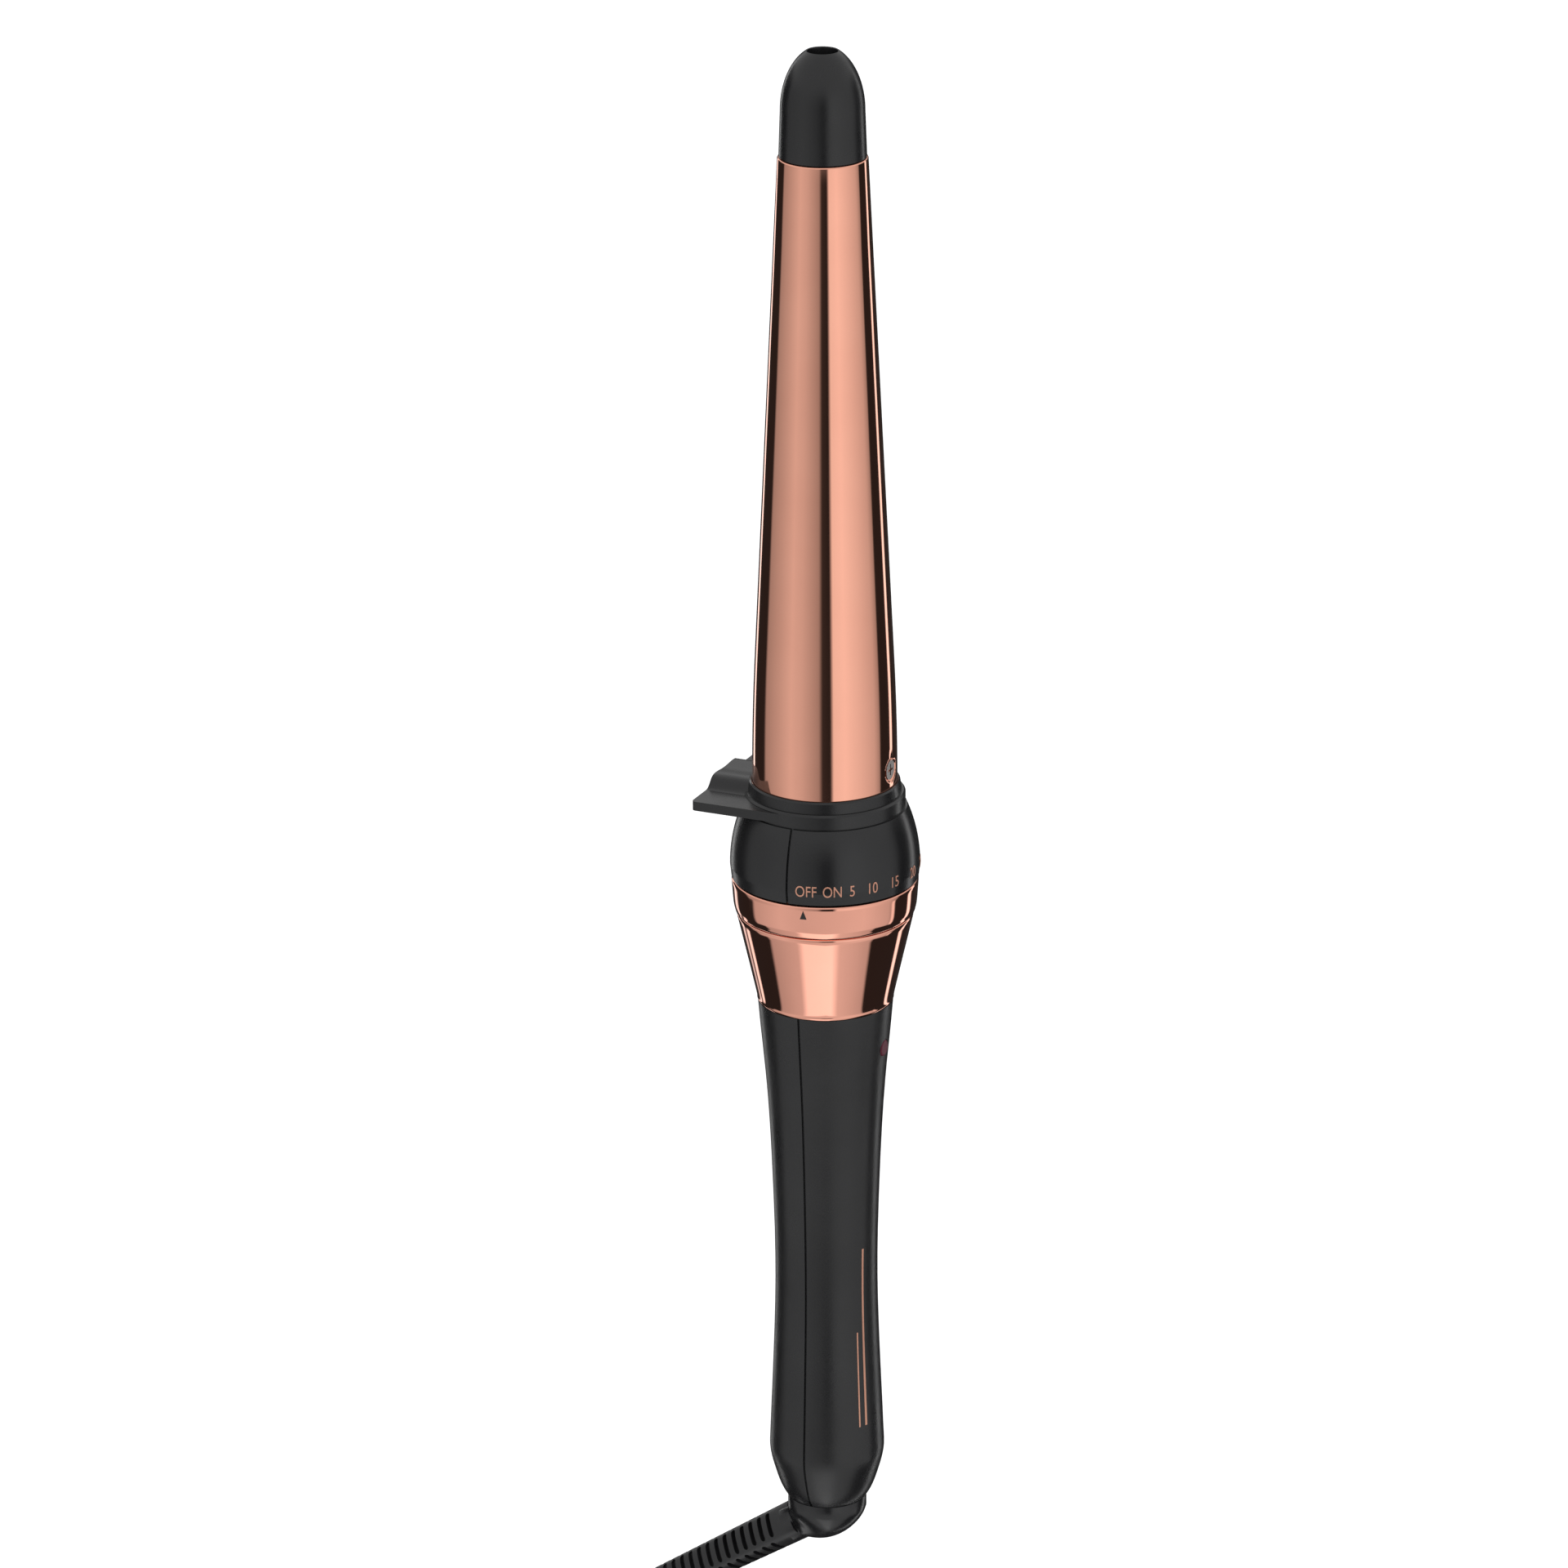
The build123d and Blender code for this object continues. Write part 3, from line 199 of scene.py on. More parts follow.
def skin_rings(name: str, rings: Sequence[Sequence[Vector]]) -> bpy.types.Object:
    """Join equal rings of points, in metres, into a closed tube with flat ends."""
    count = len(rings[0])
    verts = [tuple(p) for ring in rings for p in ring]
    faces = [list(range(count)), list(range(len(verts) - count, len(verts)))]
    for k in range(len(rings) - 1):
        for i in range(count):
            j = (i + 1) % count
            faces.append([k * count + i, k * count + j, (k + 1) * count + j, (k + 1) * count + i])
    return solid(name, verts, faces)


def dress(piece: bpy.types.Object, material: bpy.types.Material) -> None:
    """Give a piece one material on all its faces."""
    piece.data.materials.clear()
    piece.data.materials.append(material)


# ------------------------------------------------------------------ shader helpers
class Graph:
    """A node tree with short calls for adding and joining nodes."""

    def __init__(self, tree: bpy.types.NodeTree) -> None:
        """Keep the tree that nodes are added to."""
        self.tree = tree

    def add(self, kind: str, feeds: dict | None = None, **settings: object) -> bpy.types.Node:
        """Add a node.

        Args:
            kind: the node's type name.
            feeds: what goes into its inputs, by name or number.
            settings: properties of the node, by name.

        Returns:
            The new node.
        """
        node = self.tree.nodes.new(kind)
        for key, value in settings.items():
            setattr(node, key, value)
        for key, value in (feeds or {}).items():
            self.feed(node.inputs[key], value)
        return node

    def feed(self, socket: bpy.types.NodeSocket, value: object) -> None:
        """Join an output to a socket, or set the socket's own value."""
        if isinstance(value, bpy.types.NodeSocket):
            self.tree.links.new(value, socket)
        else:
            socket.default_value = value

    def maths(self, operation: str, *values: object, clamp: bool = False) -> bpy.types.NodeSocket:
        """Add a maths node.

        Args:
            operation: the node's operation.
            values: its inputs, as sockets or numbers.
            clamp: True to hold the result from 0 to 1.

        Returns:
            The node's output.
        """
        feeds = dict(enumerate(values))
        return self.add("ShaderNodeMath", feeds, operation=operation, use_clamp=clamp).outputs[0]

    def vector(self, **parts: object) -> bpy.types.NodeSocket:
        """A vector from its parts, by axis."""
        return self.add("ShaderNodeCombineXYZ", parts).outputs[0]

    def blend(self, share: object, first: object, second: object) -> bpy.types.NodeSocket:
        """Two numbers mixed by the second one's share."""
        return self.add("ShaderNodeMix", {0: share, 2: first, 3: second}, data_type="FLOAT").outputs[0]

    def span(self, value: object, low: float, high: float, start: object, end: object) -> object:
        """Map a value from low..high to start..end, clamped.

        Args:
            value: the socket to map.
            low: lowest input.
            high: highest input.
            start: output at low.
            end: output at high.

        Returns:
            The mapped output.
        """
        feeds = {"Value": value, "From Min": low, "From Max": high, "To Min": start, "To Max": end}
        return self.add("ShaderNodeMapRange", feeds, interpolation_type="SMOOTHSTEP").outputs["Result"]


def new_group(name: str, kind: str, inputs: dict[str, tuple], outputs: dict[str, str]) -> tuple:
    """Make an empty node group with named sockets.

    Args:
        name: the group's name.
        kind: Shader or Geometry.
        inputs: short socket type and default of each input.
        outputs: short socket type of each output.

    Returns:
        The tree, its graph, its inputs as sockets by name, and its output node.
    """
    tree = bpy.data.node_groups.new(name, kind + "NodeTree")
    for label, (sort, default) in inputs.items():
        socket = tree.interface.new_socket(label, in_out="INPUT", socket_type="NodeSocket" + sort)
        if default is not None:
            socket.default_value = default
    for label, sort in outputs.items():
        tree.interface.new_socket(label, in_out="OUTPUT", socket_type="NodeSocket" + sort)
    graph = Graph(tree)
    return tree, graph, graph.add("NodeGroupInput").outputs, graph.add("NodeGroupOutput")


class SharedEffects:
    """The node groups that several finishes use, each built once."""

    def __init__(self) -> None:
        """Build the groups."""
        self.grain = self._grain()
        self.handling = self._handling()
        self.tone = self._tone()

    @staticmethod
    def _grain() -> bpy.types.NodeTree:
        """Fine surface grain as a height."""
        tree, g, start, end = new_group("surface_grain", "Shader", {
            "Vector": ("Vector", None), "Scale": ("Float", 900.0), "Coarse Share": ("Float", 0.3),
        }, {"Height": "Float"})
        place, scale = start["Vector"], start["Scale"]
        fine = g.add("ShaderNodeTexNoise", {"Detail": 3.0, "Vector": place, "Scale": scale})
        coarse = g.add("ShaderNodeTexVoronoi", feature="SMOOTH_F1")
        g.feed(coarse.inputs["Vector"], place)
        g.feed(coarse.inputs["Scale"], g.maths("MULTIPLY", scale, 0.45))
        share = g.maths("MULTIPLY", coarse.outputs["Distance"], start["Coarse Share"])
        g.feed(end.inputs["Height"], g.maths("ADD", fine.outputs["Fac"], share))
        return tree

    @staticmethod
    def _handling() -> bpy.types.NodeTree:
        """Roughness that drifts in soft patches, with faint rubbed marks."""
        tree, g, start, end = new_group("handling_marks", "Shader", {
            "Vector": ("Vector", None), "Base": ("Float", 0.4), "Drift": ("Float", 0.06),
            "Patch Scale": ("Float", 45.0),
        }, {"Roughness": "Float"})
        place, scale = start["Vector"], start["Patch Scale"]
        patches = g.add("ShaderNodeTexNoise", {"Detail": 4.0, "Roughness": 0.62, "Vector": place,
                                               "Scale": scale})
        rubs = g.add("ShaderNodeTexNoise", noise_type="RIDGED_MULTIFRACTAL")
        g.feed(rubs.inputs["Vector"], place)
        g.feed(rubs.inputs["Scale"], g.maths("MULTIPLY", scale, 3.1))
        mask = g.span(patches.outputs["Fac"], 0.35, 0.68, 0.0, 1.0)
        rubbed = g.span(rubs.outputs["Fac"], 0.75, 1.1, 0.0, 0.35)
        total = g.maths("SUBTRACT", g.maths("ADD", mask, rubbed), 0.5)
        change = g.maths("MULTIPLY", total, start["Drift"])
        g.feed(end.inputs["Roughness"], g.maths("ADD", start["Base"], change))
        return tree

    @staticmethod
    def _tone() -> bpy.types.NodeTree:
        """Two close colours mixed in soft patches."""
        grey = (0.5, 0.5, 0.5, 1)
        tree, g, start, end = new_group("tone_drift", "Shader", {
            "Vector": ("Vector", None), "First": ("Color", grey), "Second": ("Color", grey),
            "Scale": ("Float", 60.0),
        }, {"Color": "Color"})
        noise = g.add("ShaderNodeTexNoise", {"Detail": 5.0, "Vector": start["Vector"],
                                             "Scale": start["Scale"]})
        share = g.span(noise.outputs["Fac"], 0.3, 0.7, 0.0, 1.0)
        mix = g.add("ShaderNodeMix", data_type="RGBA")
        for number, value in ((0, share), (6, start["First"]), (7, start["Second"])):
            g.feed(mix.inputs[number], value)
        g.feed(end.inputs["Color"], mix.outputs[2])
        return tree


class Pattern(Enum):
    """How the grain lies on a surface: the stretch of the pattern along each axis."""

    MOULDED = (1.0, 1.0, 1.0)
    TURNED = (0.25, 0.25, 3.0)
    DRAWN = (2.0, 2.0, 0.12)
    LAYERED = (0.6, 0.6, 5.0)


@dataclass(frozen=True)
class Finish:
    """One surface finish, in the colours and sizes of the real material."""

    name: str
    first: tuple[float, float, float]
    second: tuple[float, float, float]
    roughness: float
    metallic: float = 0.0
    drift: float = 0.06
    grain_scale: float = 1400.0
    grain_depth: float = 0.00002
    pattern: Pattern = Pattern.MOULDED
    coat: float = 0.0
    specular: float = 0.5
    patch_scale: float = 45.0

    def build(self, effects: SharedEffects) -> bpy.types.Material:
        """Make the material.

        Args:
            effects: the shared node groups.

        Returns:
            The new material.
        """
        material = bpy.data.materials.new(self.name)
        material.use_nodes = True
        material.diffuse_color = (*self.first, 1)
        g = Graph(material.node_tree)
        shader = material.node_tree.nodes["Principled BSDF"]
        place = g.add("ShaderNodeTexCoord").outputs["Object"]
        stretch = g.add("ShaderNodeMapping", {"Scale": self.pattern.value, "Vector": place})

        def effect(tree: bpy.types.NodeTree, feeds: dict) -> bpy.types.NodeSocket:
            """The first output of a shared group with these inputs."""
            node = g.add("ShaderNodeGroup", node_tree=tree)
            for name, value in feeds.items():
                g.feed(node.inputs[name], value)
            return node.outputs[0]

        tone = effect(effects.tone, {"Vector": place, "First": (*self.first, 1),
                                     "Second": (*self.second, 1), "Scale": self.patch_scale * 1.3})
        marks = effect(effects.handling, {"Vector": place, "Base": self.roughness, "Drift": self.drift,
                                          "Patch Scale": self.patch_scale})
        grain = effect(effects.grain, {"Vector": stretch.outputs["Vector"], "Scale": self.grain_scale})
        bump = g.add("ShaderNodeBump", {"Strength": 0.5, "Distance": self.grain_depth, "Height": grain})
        for name, value in {"Base Color": tone, "Roughness": marks, "Metallic": self.metallic,
                            "Coat Weight": self.coat, "Specular IOR Level": self.specular,
                            "Normal": bump.outputs["Normal"]}.items():
            g.feed(shader.inputs[name], value)
        return material


BLACK = ((0.010, 0.010, 0.011), (0.007, 0.007, 0.008))
FINISHES = {finish.name: finish for finish in (
    Finish("rose_gold_barrel", (0.93, 0.45, 0.325), (0.90, 0.43, 0.31), 0.06, 1.0,
           drift=0.02, grain_depth=0.0000006, pattern=Pattern.DRAWN),
    Finish("rose_gold_trim", (0.92, 0.44, 0.33), (0.89, 0.42, 0.31), 0.05, 1.0,
           drift=0.02, grain_depth=0.0000006, pattern=Pattern.TURNED),
    Finish("black_heatproof", *BLACK, 0.27),
    Finish("black_case", *BLACK, 0.25),
    Finish("soft_grip", *BLACK, 0.30,
           grain_scale=2600.0, grain_depth=0.00004),
    Finish("black_rubber", (0.013, 0.013, 0.014), (0.009, 0.009, 0.010), 0.38,
           grain_scale=1800.0, grain_depth=0.00003),
    Finish("lens_red", (0.10, 0.006, 0.022), (0.07, 0.004, 0.015), 0.34,
           specular=0.25, drift=0.02),
    Finish("screw_steel", (0.36, 0.33, 0.31), (0.28, 0.26, 0.25), 0.30, 1.0,
           pattern=Pattern.TURNED, grain_depth=0.000004),
    Finish("heater_aluminium", (0.72, 0.72, 0.73), (0.60, 0.60, 0.61), 0.42, 1.0,
           pattern=Pattern.DRAWN, grain_depth=0.00001),
    Finish("ceramic", (0.78, 0.76, 0.70), (0.70, 0.67, 0.60), 0.55, grain_depth=0.00004),
    Finish("seat_plastic", (0.10, 0.09, 0.08), (0.07, 0.065, 0.06), 0.5),
    Finish("insulation", (0.46, 0.33, 0.17), (0.34, 0.23, 0.11), 0.35,
           pattern=Pattern.LAYERED, grain_depth=0.00004),
    Finish("contact_brass", (0.83, 0.62, 0.28), (0.70, 0.50, 0.21), 0.26, 1.0,
           pattern=Pattern.DRAWN, grain_depth=0.000004),
    Finish("circuit_board", (0.018, 0.13, 0.06), (0.012, 0.09, 0.04), 0.34, coat=0.3,
           pattern=Pattern.LAYERED),
    Finish("component_black", (0.022, 0.022, 0.025), (0.016, 0.016, 0.018), 0.5,
           grain_depth=0.00004),
    Finish("wire_sleeve", (0.52, 0.50, 0.46), (0.42, 0.40, 0.36), 0.5,
           pattern=Pattern.DRAWN, grain_depth=0.00003),
    Finish("tie_black", (0.025, 0.025, 0.027), (0.015, 0.015, 0.016), 0.75,
           grain_scale=2200.0, grain_depth=0.00012),
    Finish("scale_print", (0.62, 0.31, 0.21), (0.54, 0.26, 0.18), 0.34, 0.35, drift=0.04),
    Finish("pointer_print", (0.012, 0.010, 0.010), (0.008, 0.007, 0.007), 0.4),
)}


class FinishLibrary:
    """Every finish as a material, built when it is first asked for."""

    def __init__(self) -> None:
        """Build the shared groups and start with no materials."""
        self.effects = SharedEffects()
        self.made: dict[str, bpy.types.Material] = {}

    def get(self, name: str) -> bpy.types.Material:
        """The material of that name."""
        if name not in self.made:
            self.made[name] = FINISHES[name].build(self.effects)
        return self.made[name]

    def dress_cad(self, nodes: dict[str, bpy.types.Object]) -> None:
        """Give every carried-over CAD node its procedural finish, by material slot.

        Args:
            nodes: the CAD nodes by name.
        """
        for name, node in nodes.items():
            for i, old in enumerate(node.data.materials):
                key = old.name.split(".")[0] if old else ""
                if key in FINISHES:
                    node.data.materials[i] = self.get(key)
                    continue
                log.warning("node %s has an unknown slot %s", name, key)


def keep(piece: bpy.types.Object, finishes: FinishLibrary, slot: str, body: str, *nodes: str,
         finish: str | None = None) -> bpy.types.Object:
    """Dress a new piece, make it ride and let it stand for its CAD nodes.

    Args:
        piece: the new piece.
        finishes: the finish library.
        slot: the material slot's name, also the finish's name unless finish is given.
        body: the CAD body that it rides on.
        nodes: the CAD nodes that it stands for.
        finish: the finish's name where it isn't the slot's own.

    Returns:
        The piece.
    """
    dress(piece, finishes.get(finish or slot))
    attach(piece, body)
    if nodes:
        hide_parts(*nodes)
    log.info("%s rides on %s", piece.name, body)
    return piece


# ------------------------------------------------------------------ geometry-node helpers
def grow(name: str, tree: bpy.types.NodeTree, values: dict[str, object]) -> bpy.types.Object:
    """Run a Geometry Nodes tree and keep its result as a plain mesh.

    Args:
        name: the new object's name.
        tree: the tree.
        values: value of each named input.

    Returns:
        An object at the origin with the realised mesh and no modifier.
    """
    piece = new_piece(name, bpy.data.meshes.new(name + "_seed"))
    modifier = piece.modifiers.new("grow", "NODES")
    modifier.node_group = tree
    for item in tree.interface.items_tree:
        if item.item_type == "SOCKET" and item.in_out == "INPUT" and item.name in values:
            modifier[item.identifier] = values[item.name]
    mesh = baked(piece)
    piece.modifiers.clear()
    piece.data = mesh
    return piece


def copies(g: Graph, points: object, shape: object, **feeds: object) -> bpy.types.NodeSocket:
    """Copies of a shape on points."""
    feeds = {"Points": points, "Instance": shape, **feeds}
    return g.add("GeometryNodeInstanceOnPoints", feeds).outputs[0]


def row_of(g: Graph, shape: object, count: object, first: object, pitch: object) -> bpy.types.NodeSocket:
    """Copies of a shape in a row along Z.

    Args:
        g: the tree's graph.
        shape: the shape's geometry.
        count: the number of copies.
        first: the place of the first one, as a vector.
        pitch: the step from one to the next.

    Returns:
        The copies.
    """
    feeds = {"Count": count, "Start Location": first, "Offset": g.vector(Z=pitch)}
    return copies(g, g.add("GeometryNodeMeshLine", feeds).outputs[0], shape)


def carry(g: Graph, geometry: object, **feeds: object) -> bpy.types.NodeSocket:
    """The geometry moved by a Translation or a Rotation."""
    return g.add("GeometryNodeTransform", {"Geometry": geometry, **feeds}).outputs[0]


def finish_tree(g: Graph, geometry: object, material: object, end: bpy.types.Node) -> None:
    """End a tree in Realize Instances and Set Material."""
    real = g.add("GeometryNodeRealizeInstances", {0: geometry})
    paint = g.add("GeometryNodeSetMaterial", {"Geometry": real.outputs[0], "Material": material})
    g.feed(end.inputs[0], paint.outputs[0])


def lay_along(way: Vector) -> Matrix:
    """The turn that lays +Z along a direction and +X along +Y."""
    across = Vector((0, 1, 0))
    return Matrix((across, way.cross(across), way)).transposed().to_4x4()


# ------------------------------------------------------------------ sub-assemblies
@dataclass
class Barrel:
    """The plated, tapering barrel and its heat-proof tip."""

    foot_r: float = 16.0
    foot_z: float = 106.0
    flare_z: float = 112.9
    straight_r: float = 15.3
    straight_z: float = 145.0
    top_r: float = 9.8
    top_z: float = 258.1
    wall: float = 1.0
    screw_z: float = 121.0
    dimple_depth: float = 0.6
    dimple_flat: float = 2.2
    dimple_rim: float = 2.9
    tip_foot_r: float = 9.5
    dome_r: float = 9.15
    dome_z: float = 268.3
    dome_h: float = 14.1
    dome_end: float = 66.0
    hole_r: float = 3.3
    hole_floor: float = 262.0

    def radius(self, height: float) -> float:
        """The barrel's outer radius at a height, in mm."""
        slope = (self.straight_r - self.top_r) / (self.top_z - self.straight_z)
        if height >= self.straight_z:
            return self.straight_r - slope * (height - self.straight_z)
        if height <= self.flare_z:
            return self.foot_r
        run = self.straight_z - self.flare_z
        bend = (self.foot_r - self.straight_r - slope * run) / run**2
        down = self.straight_z - height
        return self.straight_r + slope * down + bend * down**2

    def dimple(self, angle: float, height: float) -> float:
        """How far the barrel is pressed in round each side screw, in mm.

        Args:
            angle: angle about the axis in radians.
            height: height in mm.

        Returns:
            The depth in mm.
        """
        turn = min(abs(math.remainder(angle, math.pi)), math.pi)
        away = math.hypot(turn * self.foot_r, height - self.screw_z)
        return self.dimple_depth * (1 - smoothstep(self.dimple_flat, self.dimple_rim, away))

    def skin(self) -> bpy.types.Object:
        """The barrel's tube with its screw dimples."""
        near = [self.screw_z + self.dimple_rim * (1 - i / 14) for i in range(29)]
        heights = [self.top_z - 0.3, 240, 220, 200, 180, 160, self.straight_z]
        heights += [self.straight_z - 2.1 * i for i in range(1, 10)] + near
        heights += [117, 115, self.flare_z, 110, self.foot_z]
        top = arc((self.radius(self.top_z) - 0.3, self.top_z - 0.3), 0.3, 90, 10, 4)
        outer = top + [(self.radius(z), z) for z in heights]
        inner = [(self.radius(z) - self.wall, z) for z in (self.foot_z, 130, self.straight_z, self.top_z)]
        return lathe("barrel_skin", outer + inner, 320, self.dimple, ring=True)

    def tip(self) -> bpy.types.Object:
        """The domed tip with its round hole."""
        skirt = [(0, 250.0), (self.top_r - 1.6, 250.0), (self.top_r - 1.6, 257.9)]
        skirt += [(self.tip_foot_r - 0.2, 258.15), (self.tip_foot_r, 258.35), (self.tip_foot_r - 0.12, 262.0)]
        steps = [i * self.dome_end / 22 for i in range(23)]
        dome = [
            (self.dome_r * math.cos(math.radians(a)), self.dome_z + self.dome_h * math.sin(math.radians(a)))
            for a in steps
        ]
        rim_z = dome[-1][1]
        lip = [(self.hole_r + 0.25, rim_z + 0.12), (self.hole_r + 0.05, rim_z), (self.hole_r, rim_z - 0.25)]
        return lathe("tip_cap", skirt + dome + lip + [(self.hole_r, self.hole_floor), (0, self.hole_floor)])

    def build(self, finishes: FinishLibrary) -> None:
        """Make both pieces and dress them."""
        keep(self.skin(), finishes, "rose_gold_barrel", "root", "barrel")
        keep(self.tip(), finishes, "black_heatproof", "root", "cool_tip")


@dataclass
class Surface:
    """The outer surface of some pieces, for prints that lie on it."""

    pieces: tuple[bpy.types.Object, ...]
    reach: float = 0.06

    def __post_init__(self) -> None:
        """Read the pieces into search trees."""
        graph = bpy.context.evaluated_depsgraph_get()
        self.trees = [BVHTree.FromObject(piece, graph) for piece in self.pieces]

    def radius(self, angle: float, height: float) -> float:
        """Distance from the axis to the outer surface.

        Args:
            angle: angle about the axis in radians.
            height: height in metres.

        Returns:
            The distance in metres.
        """
        way = Vector((math.cos(angle), math.sin(angle), 0))
        start = way * self.reach + Vector((0, 0, height))
        hits = [tree.ray_cast(start, -way, self.reach)[0] for tree in self.trees]
        return max((hit.xy.length for hit in hits if hit), default=0.0)

    def wrap(self, mesh: bpy.types.Mesh, angle: float, height: float, lift: float) -> None:
        """Bend a flat mesh, drawn in metres on its XY plane, onto the surface.

        Args:
            mesh: the mesh.
            angle: where its origin goes about the axis, in degrees.
            height: where its origin goes, in mm.
            lift: how far its origin plane stands proud, in mm.
        """
        base = self.radius(math.radians(angle), height * MM)
        for vertex in mesh.vertices:
            turn = math.radians(angle) + vertex.co.x / base
            z = height * MM + vertex.co.y
            r = self.radius(turn, z) + lift * MM + vertex.co.z
            vertex.co = (r * math.cos(turn), r * math.sin(turn), z)


def join_meshes(name: str, meshes: Sequence[bpy.types.Mesh]) -> bpy.types.Object:
    """Join meshes that are already in place into one new piece."""
    work = bmesh.new()
    for mesh in meshes:
        work.from_mesh(mesh)
    joined = bpy.data.meshes.new(name)
    work.to_mesh(joined)
    work.free()
    settle(joined, 20.0)
    return new_piece(name, joined)


def flat_strip(width: float, length: float, depth: float, steps: int = 24) -> bpy.types.Mesh:
    """A thin upright bar on the XY plane, in mm, cut into steps along Y."""
    mesh = bpy.data.meshes.new("strip")
    work = bmesh.new()
    bmesh.ops.create_cube(work, size=1.0)
    bmesh.ops.scale(work, vec=(width * MM, length * MM, depth * MM), verts=work.verts)
    upright = [edge for edge in work.edges if abs(edge.verts[0].co.y - edge.verts[1].co.y) > 1e-9]
    bmesh.ops.subdivide_edges(work, edges=upright, cuts=steps, use_grid_fill=True)
    work.to_mesh(mesh)
    work.free()
    return mesh


@dataclass
class HeatDial:
    """The plated dial, the ferrule under it, the scale on the head and the pointer on the dial."""

    scale_z: float = 97.75
    cap_height: float = 2.5
    condense: float = 0.78
    pointer_angle: float = -80.0
    pointer_z: float = 92.2
    pointer_width: float = 1.5
    pointer_height: float = 2.0
    pointer_half_depth: float = 0.03
    pointer_lift: float = 0.05
    print_depth: float = 0.04
    print_lift: float = 0.07
    teeth: int = 44
    tooth_pitch_r: float = 17.6
    tooth_low: float = 87.45
    tooth_high: float = 91.45
    marks: tuple[tuple[str, float], ...] = (
        ("OFF", -78.0), ("ON", -62.0), ("5", -50.0), ("10", -37.0), ("15", -20.0), ("20", 0.0), ("25", 20.0),
    )

    def ring(self) -> bpy.types.Object:
        """The dial's plated ring."""
        side = smooth_line([(20.7, 93.2), (20.36, 88.65), (20.06, 87.05), (19.92, 86.6)], 8)
        top = arc((20.1, 93.6), 0.62, 80, 8, 8)
        inner = [(18.9, 86.35), (18.9, 87.3), (18.45, 87.4), (18.45, 91.5), (18.2, 91.9), (18.2, 94.2)]
        return lathe("dial_skin", top + side + [(19.75, 86.38)] + inner, 320, ring=True)

    def ferrule(self) -> bpy.types.Object:
        """The tapering ferrule between dial and handle."""
        rim = arc((19.12, 85.65), 0.48, 88, 4, 9)
        side = smooth_line([(19.55, 85.2), (18.2, 79.3), (16.78, 73.1), (15.4, 66.9), (15.22, 65.6)], 8)
        inner = [(15.05, 65.3), (14.3, 65.3), (14.3, 67.2), (17.0, 79.3), (18.2, 85.2), (18.2, 86.1)]
        return lathe("ferrule_skin", rim + side + inner, 320, ring=True)

    def gear_tree(self) -> bpy.types.NodeTree:
        """Teeth round the inside of the dial."""
        tree, g, start, end = new_group("dial_gear", "Geometry", {
            "Teeth": ("Int", 44), "Pitch Radius": ("Float", 0.0176), "Face Width": ("Float", 0.004),
            "Tooth Width": ("Float", 0.0013), "Tooth Depth": ("Float", 0.0018),
            "Middle Height": ("Float", 0.08945), "Material": ("Material", None),
        }, {"Geometry": "Geometry"})
        circle = g.add("GeometryNodeMeshCircle", {"Vertices": start["Teeth"],
                                                  "Radius": start["Pitch Radius"]})
        size = g.vector(X=start["Tooth Depth"], Y=start["Tooth Width"], Z=start["Face Width"])
        tooth = g.add("GeometryNodeMeshCube", {"Size": size})
        step = g.maths("DIVIDE", 2 * math.pi, start["Teeth"])
        turn = g.vector(Z=g.maths("MULTIPLY", g.add("GeometryNodeInputIndex").outputs[0], step))
        teeth = copies(g, circle.outputs[0], tooth.outputs["Mesh"], Rotation=turn)
        raised = carry(g, teeth, Translation=g.vector(Z=start["Middle Height"]))
        finish_tree(g, raised, start["Material"], end)
        return tree

    def gear(self, finishes: FinishLibrary) -> bpy.types.Object:
        """The dial's inner teeth as one piece."""
        return grow("dial_teeth", self.gear_tree(), {
            "Teeth": self.teeth, "Pitch Radius": self.tooth_pitch_r * MM,
            "Face Width": (self.tooth_high - self.tooth_low) * MM,
            "Middle Height": (self.tooth_high + self.tooth_low) / 2 * MM,
            "Material": finishes.get("rose_gold_trim"),
        })

    def lettering(self, head: Surface) -> bpy.types.Object:
        """The heat scale printed round the head."""
        meshes = []
        for text, angle in self.marks:
            curve = bpy.data.curves.new("mark", "FONT")
            curve.body = text
            curve.size = self.cap_height / 0.7 * MM
            curve.extrude = self.print_depth * MM
            curve.align_x, curve.align_y = "CENTER", "CENTER"
            drawn = new_piece("mark", curve)
            mesh = baked(drawn)
            bpy.data.objects.remove(drawn)
            for vertex in mesh.vertices:
                vertex.co.x *= self.condense
            head.wrap(mesh, angle, self.scale_z, self.print_lift)
            meshes.append(mesh)
        return join_meshes("scale_marks", meshes)

    def pointer(self, dial: Surface) -> bpy.types.Object:
        """The small triangle that shows the setting."""
        half, up = self.pointer_width / 2 * MM, self.pointer_height / 2 * MM
        proud = self.pointer_half_depth * MM
        flat = [(-half, -up), (half, -up), (0, up)]
        mesh = bpy.data.meshes.new("pointer")
        verts = [(x, y, z) for z in (-proud, proud) for x, y in flat]
        mesh.from_pydata(verts, [], [(0, 2, 1), (3, 4, 5), (0, 1, 4, 3), (1, 2, 5, 4), (2, 0, 3, 5)])
        dial.wrap(mesh, self.pointer_angle, self.pointer_z, self.pointer_lift)
        return join_meshes("dial_pointer", [mesh])

